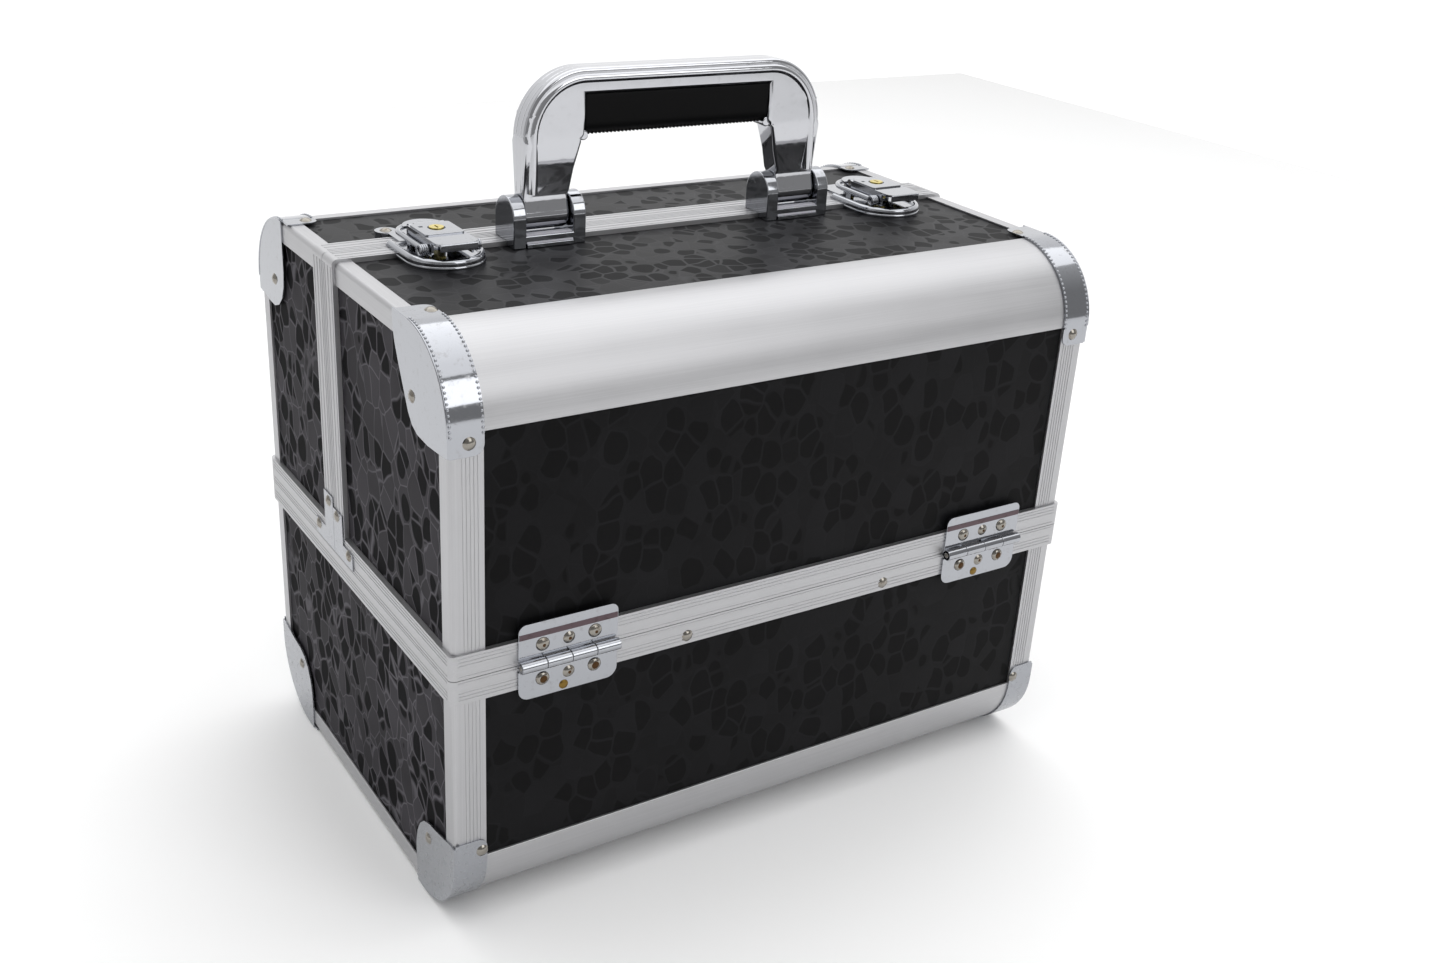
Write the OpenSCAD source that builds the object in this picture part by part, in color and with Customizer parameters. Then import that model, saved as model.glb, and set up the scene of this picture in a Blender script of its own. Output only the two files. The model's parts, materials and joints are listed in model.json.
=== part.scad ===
// Makeup train case: an aluminium-framed box with two top lids that swing apart
// on hinges along its front and rear, four cantilever trays, two keyed draw
// latches and a folding carrying handle.
// X runs along the length, -Y is the front, +Z is up, and the origin is the
// middle of the footprint on the floor. All sizes are in millimetres.

/* [Case] */
// Length of the case over its rims
case_len = 366; // [350:1:400]
// Depth of the case over its rims
case_dep = 245; // [240:1:265]
// Height from the floor to the joint between the base and the lids
base_h = 140; // [125:1:160]
// Height from that joint to the top of the seam rim
lid_h = 157; // [150:1:180]
// How far the seam between the lids lies behind the middle
seam_y = 20; // [16:0.5:22]
// Outer radius of the long rounded edges
edge_r = 38.5; // [34:0.5:42]

/* [Aluminium profiles] */
// Height of one rim along the joint
rim_h = 12.35; // [11:0.05:14]
// Depth of a rim from its outer to its inner face
rim_w = 8; // [7.5:0.1:9]
// How far the rims stand out from the body
rim_proud = 1.5; // [1:0.1:2]
// Gap between two closed rims
rim_gap = 0.3; // [0.2:0.05:0.6]
// Sheet thickness of the angles
angle_t = 1.2; // [1:0.1:1.5]
// Width of a corner post on the front or rear face
post_front = 16; // [12:0.5:20]
// Width of a corner post on the end face
post_side = 10; // [8:0.5:14]
// Height of the end angles on the end face
angle_side = 11; // [9:0.5:14]
// Width of the end angles on the top or bottom face
angle_flat = 8.5; // [7:0.5:12]
// Wall thickness of the hollow rounded edge bars
bar_wall = 1.3; // [1:0.1:1.6]

/* [Boards] */
// Thickness of the laminated boards
board_t = 4; // [3:0.5:4]
// Depth to which a board sits in its rim
board_seat = 8; // [6:0.5:8]
// Thickness of the felt lining
felt_t = 0.8; // [0.5:0.1:1]

/* [Corner caps] */
// Sheet thickness of the pressed caps
cap_t = 0.9; // [0.7:0.1:1.2]
// Width of the curved band of a cap
cap_band = 16; // [13:0.5:18]

/* [Hinges] */
// Distance of each hinge from the middle
hinge_x = 125; // [110:1:130]
// Width of a hinge
hinge_w = 51; // [40:1:56]
// Outer radius of the knuckles
knuckle_r = 2.8; // [2.4:0.1:2.9]
// Radius of the hinge pins
hinge_pin_r = 1.4; // [1:0.1:1.6]

/* [Handle] */
// Distance of each handle bracket from the middle
bracket_x = 74.5; // [70:0.5:80]
// Height of the handle from its pivot to its top
handle_rise = 71; // [65:1:90]
// Thickness of the handle from front to rear
handle_t = 14; // [12:0.5:14.5]
// Length of the grip
grip_len = 108; // [90:1:110]

/* [Latches] */
// Distance of each latch from the middle
latch_x = 132; // [128:0.5:134]
// Width of the latch lever
lever_w = 21.4; // [20:0.2:22]

/* [Trays] */
// Height of a tray
tray_h = 38; // [30:1:38]
// Wall and floor thickness of a tray
tray_t = 2; // [1.6:0.1:2.5]

/* [Hidden] */
$fn = 64;
eps = 0.01;

// Colours
satin = "#c9cacd";
chrome = "#dfe1e4";
laminate = "#2b2a2d";
black = "#141416";
brass = "#c9a64b";

// Outer faces of the body, without the rims that stand out from it
body_x = case_len / 2 - rim_proud;
body_y = case_dep / 2 - rim_proud;
body_z0 = cap_t;
top_z = base_h + lid_h;
body_z1 = top_z - rim_proud;

// Boards lie one angle thickness inside those faces
board_x = body_x - angle_t;
board_y = body_y - angle_t;
board_z0 = body_z0 + angle_t;
board_z1 = body_z1 - angle_t;
inner_x = board_x - board_t;
inner_y = board_y - board_t;

// Ends of the straight parts between the rounded edges
flat_y = body_y - edge_r;
curve_z0 = body_z0 + edge_r;
curve_z1 = body_z1 - edge_r;

// Rim positions
rim_x = case_len / 2;
rim_y = case_dep / 2;
base_rim_z1 = base_h - rim_gap / 2;
base_rim_z0 = base_rim_z1 - rim_h;
lid_rim_z0 = base_h + rim_gap / 2;
lid_rim_z1 = lid_rim_z0 + rim_h;
seam_front = seam_y - rim_gap / 2;
seam_rear = seam_y + rim_gap / 2;
seam_w = 13;
seam_y0 = seam_front - seam_w;
seam_y1 = seam_rear + seam_w;
rim_corner_r = 3;
angle_corner_r = 2.5;

// Hinge axes run along X, just outside the rims
axis_y = rim_y + knuckle_r + 0.2;
leaf_t = 1.2;
leaf_up = 20.7;
leaf_down = 18.5;
leaf_clear = knuckle_r + 0.4;
running = 0.05;

// Rivets: head radius, head height, shank radius
rivet_r = 3.1;
rivet_h = 1.3;
shank_r = 1.5;
hinge_rivet_z = 9;
hinge_rivet_x = 13.4;
leaf_seat = 2.3;

// Handle pivot
handle_y = 9;
pivot_z = top_z + 11.4;
bracket_r = 10.6;
bracket_w = 39.6;
bracket_wall = 7;
bracket_floor = 3.5;
handle_pin_r = 3;
foot_w = 25;
foot_r = 7.4;
foot_rise = 12;
handle_half = bracket_x + foot_w / 2;
handle_corner_r = 33;
handle_top = pivot_z + handle_rise;
grip_top = handle_top - 12.5;
grip_z0 = grip_top - 20;

// Latch, in heights above the top of the seam rim and in Y
plate_t = 1.2;
lever_z1 = top_z + 10.5;
lever_t = 1.2;
lever_front = -22.5;
lever_axis_y = 16.5;
lever_axis_z = lever_z1 - 2.2;
lever_knuckle_r = 2.2;
lever_pin_r = 1.2;
knuckle_half = 6.4;
ear_in = 6.7;
ear_out = 9.1;
bail_axis_y = -11;
bail_z = top_z + 5.6;
bail_r = 1.4;
bail_half = lever_w / 2 + 0.5 + bail_r;
nose_y = 18.3;
lock_y = 4;
lock_r = 3.6;
lock_neck_r = 3;
keeper_rivet_x = 11;
keeper_rivet_y = 41;

// Cantilever linkage: each tray swings on a pin of its lid and on an arm of the
// base, and the two links are equal and parallel, so the tray stays level
lower_reach = 25;
upper_reach = 65;
arm_drop = 8;
front_arm_in = 60;
rear_arm_in = 30;
tray_x = case_len / 2 - 15;
lower_z = lid_rim_z1 + 0.5;
upper_z = lower_z + tray_h + 2;
tray_front_y = 108.5;
front_tray_in = seam_y - 3;
rear_tray_in = seam_y + 2.5;
tray_pin_r = 2;
arm_x0 = tray_x + 1.2;
arm_t = 2;
arm_w = 12;

// ---------------------------------------------------------------- helpers

// Both ends of the case
module both_ends() {
    children();
    mirror([1, 0, 0]) children();
}

// A mirrored copy at the rear when rear is true
module at_side(rear) {
    mirror([0, rear ? 1 : 0, 0]) children();
}

// A box from its low to its high corner
module box(low, high) {
    translate(low) cube(high - low);
}

// A plan drawn in Y and Z, drawn out along X from x0 to x1
module along_x(x0, x1) {
    translate([x0, 0, 0]) rotate([90, 0, 90]) linear_extrude(x1 - x0) children();
}

// A round bar along X
module rod_x(x0, x1, y, z, r) {
    translate([x0, y, z]) rotate([0, 90, 0]) cylinder(h = x1 - x0, r = r);
}

// A quarter disc about the origin, in the quadrant of +x and +y
module quarter(r, inset = 0) {
    intersection() {
        circle(r);
        translate([inset, inset]) square(r);
    }
}

// An L-shaped angle in plan: its corner is at the origin and its legs run
// along +x and +y, with the outer corner rounded
module angle_plan(leg_x, leg_y) {
    r = angle_corner_r;
    difference() {
        union() {
            translate([r, 0]) square([leg_x - r, leg_y]);
            translate([0, r]) square([leg_x, leg_y - r]);
            translate([r, r]) circle(r);
        }
        translate([angle_t, angle_t]) square([leg_x, leg_y]);
    }
}

// ---------------------------------------------------------------- rivets

// A domed rivet whose head sits on z = 0 and whose shank runs down
module rivet(depth, head_r = rivet_r) {
    dome = (head_r * head_r + rivet_h * rivet_h) / (2 * rivet_h);
    intersection() {
        translate([0, 0, rivet_h - dome]) sphere(dome);
        cylinder(h = rivet_h, r = head_r);
    }
    translate([0, 0, -depth]) cylinder(h = depth + 0.1, r = shank_r);
}

// The hole that a rivet's shank leaves
module rivet_hole(depth) {
    translate([0, 0, -depth]) cylinder(h = depth, r = shank_r);
}

// Each place is [x, y, z] of a head's seat and the way that the head faces:
// "end", "front" or "top", on the left front of the case
module facing(way) {
    if (way == "end")
        rotate([0, -90, 0]) children();
    else if (way == "front")
        rotate([90, 0, 0]) children();
    else
        children();
}

// Rivets, or their holes, at a list of [position, way, depth]
module rivets_at(places, holes = false) {
    for (p = places) {
        translate(p[0]) facing(p[1]) {
            if (holes)
                rivet_hole(p[2]);
            else
                rivet(p[2]);
        }
    }
}

cap_end_x = -body_x - cap_t;
cap_front_y = -body_y - cap_t;
cap_top_z = body_z1 + cap_t;
seat_in_board = cap_t + angle_t + 2;
bottom_cap_rivets = [
    [[cap_end_x, -body_y + 30, body_z0 + 34], "end", seat_in_board],
    [[-body_x + 13.5, cap_front_y, body_z0 + 42.5], "front", seat_in_board]
];
front_cap_rivets = [
    [[cap_end_x, -body_y + 36, body_z1 - 33], "end", seat_in_board],
    [[-body_x + 9, cap_front_y, body_z1 - 42.5], "front", seat_in_board],
    [[-body_x + 13, -body_y + 46, cap_top_z], "top", seat_in_board]
];
rear_cap_rivets = [
    [[cap_end_x, -body_y + 25, body_z1 - 33.5], "end", seat_in_board],
    [[-body_x + 9, cap_front_y, body_z1 - 42.5], "front", seat_in_board],
    [[-body_x + 11, -body_y + 43, cap_top_z], "top", seat_in_board]
];
rim_rivet_x = 60;
base_rim_rivets = [
    [[-rim_rivet_x, -rim_y, base_h - 8.2], "front", leaf_seat]
];
plate_t2 = 0.8;
plate_seat = plate_t2 + 2;
front_plate_rivets = [
    [[-rim_x - plate_t2, seam_front - 5, base_h + 22], "end", plate_seat],
    [[-rim_x - plate_t2, seam_front - 20, base_h + 6.5], "end", plate_seat]
];
rear_plate_rivets = [
    [[-rim_x - plate_t2, seam_rear + 6, base_h + 26], "end", plate_seat],
    [[-rim_x - plate_t2, seam_rear + 22, base_h + 6.5], "end", plate_seat]
];

// Rivets of the hinge leaf above (up = 1) or below (up = -1) the joint
function hinge_rivets(up) = [
    for (side = [-1, 1], dx = [-hinge_rivet_x, 0, hinge_rivet_x])
        [[side * hinge_x + dx, -rim_y - leaf_t, base_h + up * hinge_rivet_z],
         "front", leaf_t + leaf_seat]
];

module base_rivet_set(holes = false) {
    for (rear = [false, true]) {
        at_side(rear) {
            both_ends() {
                rivets_at(bottom_cap_rivets, holes);
                rivets_at(base_rim_rivets, holes);
            }
            rivets_at(hinge_rivets(-1), holes);
        }
    }
}

module front_lid_rivet_set(holes = false) {
    both_ends() {
        rivets_at(front_cap_rivets, holes);
        rivets_at(front_plate_rivets, holes);
    }
    rivets_at(hinge_rivets(1), holes);
}

module keeper_rivet_places(holes) {
    seat = top_z + plate_t;
    depth = seat - board_z1 + 2;
    both_ends() for (dx = [-keeper_rivet_x, keeper_rivet_x])
        rivets_at([[[latch_x + dx, keeper_rivet_y, seat], "top", depth]], holes);
}

module rear_lid_rivet_set(holes = false) {
    mirror([0, 1, 0]) {
        both_ends() rivets_at(rear_cap_rivets, holes);
        rivets_at(hinge_rivets(1), holes);
    }
    both_ends() rivets_at(rear_plate_rivets, holes);
    keeper_rivet_places(holes);
}

// ---------------------------------------------------------------- boards

// End outline of the base boards in Y and Z
module base_end_plan() {
    r = edge_r - angle_t;
    z1 = base_rim_z0 + board_seat;
    translate([-flat_y, board_z0]) square([2 * flat_y, z1 - board_z0]);
    translate([-board_y, curve_z0]) square([2 * board_y, z1 - curve_z0]);
    for (y = [-flat_y, flat_y])
        translate([y, curve_z0]) circle(r);
}

// End outline of a lid's boards, from its outer face to the seam
module lid_end_plan(seam) {
    r = edge_r - angle_t;
    z0 = lid_rim_z1 - board_seat;
    translate([-board_y, z0]) square([board_y + seam, curve_z1 - z0]);
    translate([-flat_y, z0]) square([flat_y + seam, board_z1 - z0]);
    translate([-flat_y, curve_z1]) circle(r);
}

front_seat = seam_y0 + board_seat;
rear_seat = -(seam_y1 - board_seat);

module base_end_boards() {
    both_ends() along_x(inner_x, board_x) base_end_plan();
}

module base_front_board() {
    z1 = base_rim_z0 + board_seat;
    box([-inner_x, -board_y, curve_z0], [inner_x, -inner_y, z1]);
}

module lid_end_boards(seam) {
    both_ends() along_x(inner_x, board_x) lid_end_plan(seam);
}

module lid_front_board() {
    z0 = lid_rim_z1 - board_seat;
    box([-inner_x, -board_y, z0], [inner_x, -inner_y, curve_z1]);
}

module lid_top_board(seam) {
    box([-inner_x, -flat_y, board_z1 - board_t], [inner_x, seam, board_z1]);
}

module base_front_panel() {
    color(laminate) difference() {
        base_front_board();
        base_rivet_set(true);
    }
}

module base_rear_panel() {
    color(laminate) difference() {
        mirror([0, 1, 0]) base_front_board();
        base_rivet_set(true);
    }
}

module base_end_panels() {
    color(laminate) difference() {
        base_end_boards();
        base_rivet_set(true);
        arm_pivot_shanks(tray_pin_r);
    }
}

module base_bottom_panel() {
    color(laminate)
        box([-inner_x, -flat_y, board_z0], [inner_x, flat_y, board_z0 + board_t]);
}

module front_lid_front_panel() {
    color(laminate) difference() {
        lid_front_board();
        front_lid_rivet_set(true);
    }
}

module front_lid_top_panel() {
    color(laminate) difference() {
        lid_top_board(front_seat);
        front_lid_rivet_set(true);
    }
}

module front_lid_end_panels() {
    color(laminate) difference() {
        lid_end_boards(front_seat);
        front_lid_rivet_set(true);
        lid_pivot_shanks(false);
    }
}

module rear_lid_rear_panel() {
    color(laminate) difference() {
        mirror([0, 1, 0]) lid_front_board();
        rear_lid_rivet_set(true);
    }
}

module rear_lid_top_panel() {
    color(laminate) difference() {
        mirror([0, 1, 0]) lid_top_board(rear_seat);
        rear_lid_rivet_set(true);
    }
}

module rear_lid_end_panels() {
    color(laminate) difference() {
        mirror([0, 1, 0]) lid_end_boards(rear_seat);
        rear_lid_rivet_set(true);
        lid_pivot_shanks(true);
    }
}

// Felt that lines the floor and the walls of the base
module base_lining() {
    floor_z = board_z0 + board_t;
    wall_z1 = base_rim_z0 - 1;
    color(black) {
        box([-inner_x, -flat_y, floor_z], [inner_x, flat_y, floor_z + felt_t]);
        both_ends() box([inner_x - felt_t, -flat_y, curve_z0],
            [inner_x, flat_y, wall_z1]);
        for (rear = [false, true])
            at_side(rear) box([-inner_x + felt_t, -inner_y, curve_z0],
                [inner_x - felt_t, -inner_y + felt_t, wall_z1]);
    }
}

// ---------------------------------------------------------------- rims

// Plan of one mitred bar of the rim that runs round the case
module front_bar_plan() {
    x = rim_x - rim_w;
    y = rim_y - rim_w;
    intersection() {
        rim_outline();
        polygon([[-rim_x, -rim_y], [rim_x, -rim_y], [x, -y], [-x, -y]]);
    }
}

// Plan of the left bar, from the mitre at the front to y1
module side_bar_plan(y1) {
    x = rim_x - rim_w;
    y = rim_y - rim_w;
    intersection() {
        rim_outline();
        polygon([[-rim_x, -rim_y], [-x, -y], [-x, y1], [-rim_x, y1]]);
    }
}

// Plan of the left bar between a mitre at each end
module full_side_bar_plan() {
    x = rim_x - rim_w;
    y = rim_y - rim_w;
    intersection() {
        rim_outline();
        polygon([[-rim_x, -rim_y], [-x, -y], [-x, y], [-rim_x, rim_y]]);
    }
}

// Outline of the rims with their rounded corners
module rim_outline() {
    r = rim_corner_r;
    square([2 * rim_x, 2 * (rim_y - r)], center = true);
    square([2 * (rim_x - r), 2 * rim_y], center = true);
    for (x = [-1, 1], y = [-1, 1])
        translate([x * (rim_x - r), y * (rim_y - r)]) circle(r);
}

module base_rim() {
    color(satin) difference() {
        translate([0, 0, base_rim_z0]) {
            for (rear = [false, true])
                at_side(rear) linear_extrude(rim_h) front_bar_plan();
            both_ends() linear_extrude(rim_h) full_side_bar_plan();
        }
        base_front_board();
        mirror([0, 1, 0]) base_front_board();
        base_end_boards();
        base_rivet_set(true);
        arm_pivot_shanks(tray_pin_r);
    }
}

// The three rim bars of a lid, with the seam at y1
module lid_rim(y1) {
    translate([0, 0, lid_rim_z0]) {
        linear_extrude(rim_h) front_bar_plan();
        both_ends() linear_extrude(rim_h) side_bar_plan(y1);
    }
}

module front_lid_rim() {
    color(satin) difference() {
        lid_rim(seam_front);
        lid_front_board();
        lid_end_boards(front_seat);
        front_lid_rivet_set(true);
    }
}

module rear_lid_rim() {
    color(satin) difference() {
        mirror([0, 1, 0]) lid_rim(-seam_rear);
        mirror([0, 1, 0]) lid_front_board();
        mirror([0, 1, 0]) lid_end_boards(rear_seat);
        rear_lid_rivet_set(true);
    }
}

// One rim along the seam: two uprights and the bar over the top, mitred
module seam_rim(y0, y1) {
    r = rim_corner_r;
    h = top_z - lid_rim_z1;
    difference() {
        translate([0, y1, lid_rim_z1]) rotate([90, 0, 0]) linear_extrude(y1 - y0) {
            difference() {
                union() {
                    translate([-rim_x, 0]) square([2 * rim_x, h - r]);
                    translate([r - rim_x, 0]) square([2 * (rim_x - r), h]);
                    for (x = [r - rim_x, rim_x - r])
                        translate([x, h - r]) circle(r);
                }
                translate([rim_w - rim_x, -1]) square([2 * (rim_x - rim_w), h - rim_w + 1]);
            }
        }
        children();
    }
}

module front_lid_seam_rim() {
    color(satin) seam_rim(seam_y0, seam_front) {
        lid_end_boards(front_seat);
        lid_top_board(front_seat);
        front_lid_rivet_set(true);
    }
}

module rear_lid_seam_rim() {
    color(satin) seam_rim(seam_rear, seam_y1) {
        mirror([0, 1, 0]) lid_end_boards(rear_seat);
        mirror([0, 1, 0]) lid_top_board(rear_seat);
        rear_lid_rivet_set(true);
    }
}

// ---------------------------------------------------------------- angles

// Left front corner post between two heights
module post(z0, z1) {
    translate([-body_x, -body_y, z0]) linear_extrude(z1 - z0)
        angle_plan(post_front, post_side);
}

module base_corner_posts() {
    color(satin) difference() {
        both_ends() for (rear = [false, true])
            at_side(rear) post(curve_z0, base_rim_z0);
        base_rivet_set(true);
    }
}

module front_lid_corner_posts() {
    color(satin) difference() {
        both_ends() post(lid_rim_z1, curve_z1);
        front_lid_rivet_set(true);
    }
}

module rear_lid_corner_posts() {
    color(satin) difference() {
        mirror([0, 1, 0]) both_ends() post(lid_rim_z1, curve_z1);
        rear_lid_rivet_set(true);
    }
}

// Left end angle along Y, with its corner at the bottom (up = 1) or top (-1)
module end_angle(y0, y1, z, up) {
    translate([-body_x, y1, z]) mirror([0, 0, up > 0 ? 0 : 1])
        rotate([90, 0, 0]) linear_extrude(y1 - y0) angle_plan(angle_flat, angle_side);
}

module base_end_angles() {
    color(satin) both_ends() end_angle(-flat_y, flat_y, body_z0, 1);
}

module front_lid_top_angles() {
    color(satin) difference() {
        both_ends() end_angle(-flat_y, seam_y0, body_z1, -1);
        front_lid_rivet_set(true);
    }
}

module rear_lid_top_angles() {
    color(satin) difference() {
        both_ends() end_angle(seam_y1, flat_y, body_z1, -1);
        rear_lid_rivet_set(true);
    }
}

// ---------------------------------------------------------------- edge bars

// Hollow quarter-round section, in the quadrant of +x and +y
module bar_plan() {
    inner = edge_r - angle_t - board_t;
    difference() {
        quarter(edge_r);
        circle(inner);
        difference() {
            quarter(edge_r - bar_wall, bar_wall);
            circle(inner + bar_wall);
        }
    }
}

// The rounded bar at the front, at the top (up = 1) or bottom (-1)
module front_bar(up) {
    z = up > 0 ? curve_z1 : curve_z0;
    along_x(-inner_x, inner_x) translate([-flat_y, z])
        mirror([1, 0]) mirror([0, up > 0 ? 0 : 1]) bar_plan();
}

module base_edge_bars() {
    color(satin) for (rear = [false, true])
        at_side(rear) front_bar(-1);
}

module front_lid_edge_bar() {
    color(satin) front_bar(1);
}

module rear_lid_edge_bar() {
    color(satin) mirror([0, 1, 0]) front_bar(1);
}

// ---------------------------------------------------------------- corner caps

// A cap in its own place: x from the body's end, y from its front face and z
// from its bottom or top face, all inwards. tab is how far the band runs past
// its curve, and the children are the outline of the end plate.
module cap(tab_front, tab_flat) {
    r = edge_r + cap_t;
    // curved band and its two flat tabs
    along_x(0, cap_band) {
        translate([edge_r, edge_r]) mirror([1, 0]) mirror([0, 1]) difference() {
            quarter(r);
            circle(edge_r);
        }
        translate([-cap_t, edge_r]) square([cap_t, tab_front]);
        translate([edge_r, -cap_t]) square([tab_flat, cap_t]);
    }
    // end plate, trimmed to the rounded corner of the body
    along_x(-cap_t, 0) intersection() {
        children();
        union() {
            translate([edge_r, edge_r]) circle(r);
            translate([-cap_t, edge_r]) square(edge_r + r);
            translate([edge_r, -cap_t]) square(edge_r + r);
        }
    }
}

module bottom_cap() {
    c = cap_t;
    cap(10.5, 9.5) polygon([[-c, -c], [44.5, -c], [45.5, 12], [45.3, 22], [43.5, 30],
        [40, 36.5], [35, 41], [28, 43.5], [20, 44.5], [12, 46], [6, 47.2], [-c, 47.6]]);
}

module front_top_cap() {
    c = cap_t;
    cap(10, 15.5) polygon([[-c, -c], [56, -c], [55.6, 8], [54, 14], [50, 23],
        [44.5, 34], [40.5, 42], [36.5, 46.5], [31, 49], [20, 49.8], [8, 49], [-c, 48]]);
}

module rear_top_cap() {
    c = cap_t;
    cap(9, 9.5) polygon([[-c, -c], [39.5, -c], [39.5, 26], [38.3, 34], [35, 41],
        [29.5, 46], [22.5, 48.5], [15, 48], [8, 46.6], [2, 46], [-c, 45.8]]);
}

// Places a cap at the left front corner of the body's bottom or top
module at_corner(up) {
    translate([-body_x, -body_y, up > 0 ? body_z1 : body_z0])
        mirror([0, 0, up > 0 ? 1 : 0]) children();
}

module base_corner_caps() {
    color(chrome) difference() {
        for (rear = [false, true])
            at_side(rear) both_ends() at_corner(-1) bottom_cap();
        base_rivet_set(true);
    }
}

module front_lid_corner_caps() {
    color(chrome) difference() {
        both_ends() at_corner(1) front_top_cap();
        front_lid_rivet_set(true);
    }
}

module rear_lid_corner_caps() {
    color(chrome) difference() {
        mirror([0, 1, 0]) both_ends() at_corner(1) rear_top_cap();
        rear_lid_rivet_set(true);
    }
}

module base_rivets() {
    color(chrome) base_rivet_set();
}

module front_lid_rivets() {
    color(chrome) front_lid_rivet_set();
}

module rear_lid_rivets() {
    color(chrome) rear_lid_rivet_set();
}

// L-shaped plates that tie the seam rim to the rim along the joint. A plate
// starts at the seam and its legs run up and away from it.
module seam_plate(seam, away, foot, rise) {
    leg = 9;
    x0 = -rim_x - plate_t2;
    z0 = lid_rim_z0;
    y0 = min(seam, seam + away * foot);
    u0 = min(seam, seam + away * (seam_w - 0.6));
    box([x0, y0, z0], [-rim_x, y0 + foot, z0 + leg]);
    box([x0, u0, z0 + leg - eps], [-rim_x, u0 + seam_w - 0.6, z0 + rise]);
}

module front_lid_seam_plates() {
    color(chrome) difference() {
        both_ends() seam_plate(seam_front, -1, 25, 25);
        front_lid_rivet_set(true);
    }
}

module rear_lid_seam_plates() {
    color(chrome) difference() {
        both_ends() seam_plate(seam_rear, 1, 26, 30);
        rear_lid_rivet_set(true);
    }
}

// ---------------------------------------------------------------- hinges

knuckles = 4;
knuckle_len = hinge_w / knuckles;
knuckle_gap = 0.3;

// One leaf of a front hinge: up is 1 for the lid's leaf and -1 for the base's
module leaf(up) {
    odd = up > 0 ? 0 : 1;
    reach = up > 0 ? leaf_up : leaf_down;
    z_near = base_h + up * leaf_clear;
    z_far = base_h + up * reach;
    bore = hinge_pin_r + (up > 0 ? running : 0);
    x0 = -hinge_w / 2;
    difference() {
        union() {
            box([x0, -rim_y - leaf_t, min(z_near, z_far)],
                [-x0, -rim_y, max(z_near, z_far)]);
            for (k = [odd:2:knuckles - 1]) {
                k0 = x0 + k * knuckle_len + knuckle_gap / 2;
                k1 = k0 + knuckle_len - knuckle_gap;
                rod_x(k0, k1, -axis_y, base_h, knuckle_r);
                z_root = base_h + up * 0.4;
                box([k0, -rim_y - leaf_t, min(z_root, z_near)],
                    [k1, -rim_y, max(z_root, z_near)]);
            }
        }
        rod_x(x0 - 1, -x0 + 1, -axis_y, base_h, bore);
    }
}

module hinge_pair() {
    for (side = [-1, 1])
        translate([side * hinge_x, 0, 0]) children();
}

module base_hinge_leaves() {
    color(chrome) difference() {
        for (rear = [false, true])
            at_side(rear) hinge_pair() leaf(-1);
        base_rivet_set(true);
    }
}

module front_lid_hinge_leaves() {
    color(chrome) difference() {
        hinge_pair() leaf(1);
        front_lid_rivet_set(true);
    }
}

module rear_lid_hinge_leaves() {
    color(chrome) difference() {
        mirror([0, 1, 0]) hinge_pair() leaf(1);
        rear_lid_rivet_set(true);
    }
}

module hinge_pins() {
    color(chrome) for (rear = [false, true])
        at_side(rear) hinge_pair()
            rod_x(-hinge_w / 2, hinge_w / 2, -axis_y, base_h, hinge_pin_r);
}

// ---------------------------------------------------------------- handle

module handle_brackets() {
    y0 = handle_y - bracket_r;
    y1 = handle_y + bracket_r;
    color(chrome) both_ends() difference() {
        translate([-bracket_x, 0, 0]) {
            for (side = [-1, 1]) {
                x = side * (bracket_w - bracket_wall) / 2;
                along_x(x - bracket_wall / 2, x + bracket_wall / 2) bracket_plan();
            }
            box([-bracket_w / 2, y0, top_z], [bracket_w / 2, y1, top_z + bracket_floor]);
        }
        handle_pin_rods(handle_pin_r);
    }
}

// Side of a bracket: an arch over the pivot that stands on the seam rim, with a
// toe that reaches down to the lid's board in front of the rim
module bracket_plan() {
    toe = seam_y0 - 0.2;
    translate([handle_y, pivot_z]) circle(bracket_r);
    translate([handle_y - bracket_r, top_z])
        square([2 * bracket_r, pivot_z - top_z]);
    translate([handle_y - bracket_r, board_z1])
        square([toe - handle_y + bracket_r, top_z - board_z1 + eps]);
}

module handle_pin_rods(r) {
    both_ends() rod_x(-bracket_x - bracket_w / 2 + 1, -bracket_x + bracket_w / 2 - 1,
        handle_y, pivot_z, r);
}

module handle_pins() {
    color(chrome) handle_pin_rods(handle_pin_r);
}

// Front view of the handle above its pivot
module handle_plan() {
    r = handle_corner_r;
    rise = handle_rise;
    difference() {
        union() {
            translate([-handle_half, 0]) square([2 * handle_half, rise - r]);
            translate([r - handle_half, 0]) square([2 * (handle_half - r), rise]);
            for (x = [r - handle_half, handle_half - r])
                translate([x, rise - r]) circle(r);
        }
        handle_window();
    }
}

// The opening of the handle, with the grip's seat at its top
module handle_window() {
    foot = bracket_x - foot_w / 2;
    g = grip_len / 2;
    z0 = grip_z0 - pivot_z;
    z1 = grip_top - pivot_z;
    polygon([[-foot, -1], [-foot, foot_rise], [-g - 2, z0 - 2], [-g, z0], [-g, z1],
        [g, z1], [g, z0], [g + 2, z0 - 2], [foot, foot_rise], [foot, -1]]);
}

module handle_frame() {
    color(chrome) difference() {
        union() {
            translate([0, handle_y + handle_t / 2, pivot_z]) rotate([90, 0, 0])
                linear_extrude(handle_t) handle_plan();
            both_ends() rod_x(-bracket_x - foot_w / 2, -bracket_x + foot_w / 2,
                handle_y, pivot_z, foot_r);
        }
        handle_pin_rods(handle_pin_r + running);
    }
}

// Grip: a bar under the top of the handle with a rounded lower edge
module handle_grip() {
    half = handle_t / 2 - 0.8;
    color(black) along_x(-grip_len / 2, grip_len / 2) translate([handle_y, 0]) {
        translate([-half, grip_z0 + half]) square([2 * half, grip_top - grip_z0 - half]);
        translate([0, grip_z0 + half]) circle(half);
    }
}

// ---------------------------------------------------------------- latches

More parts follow.
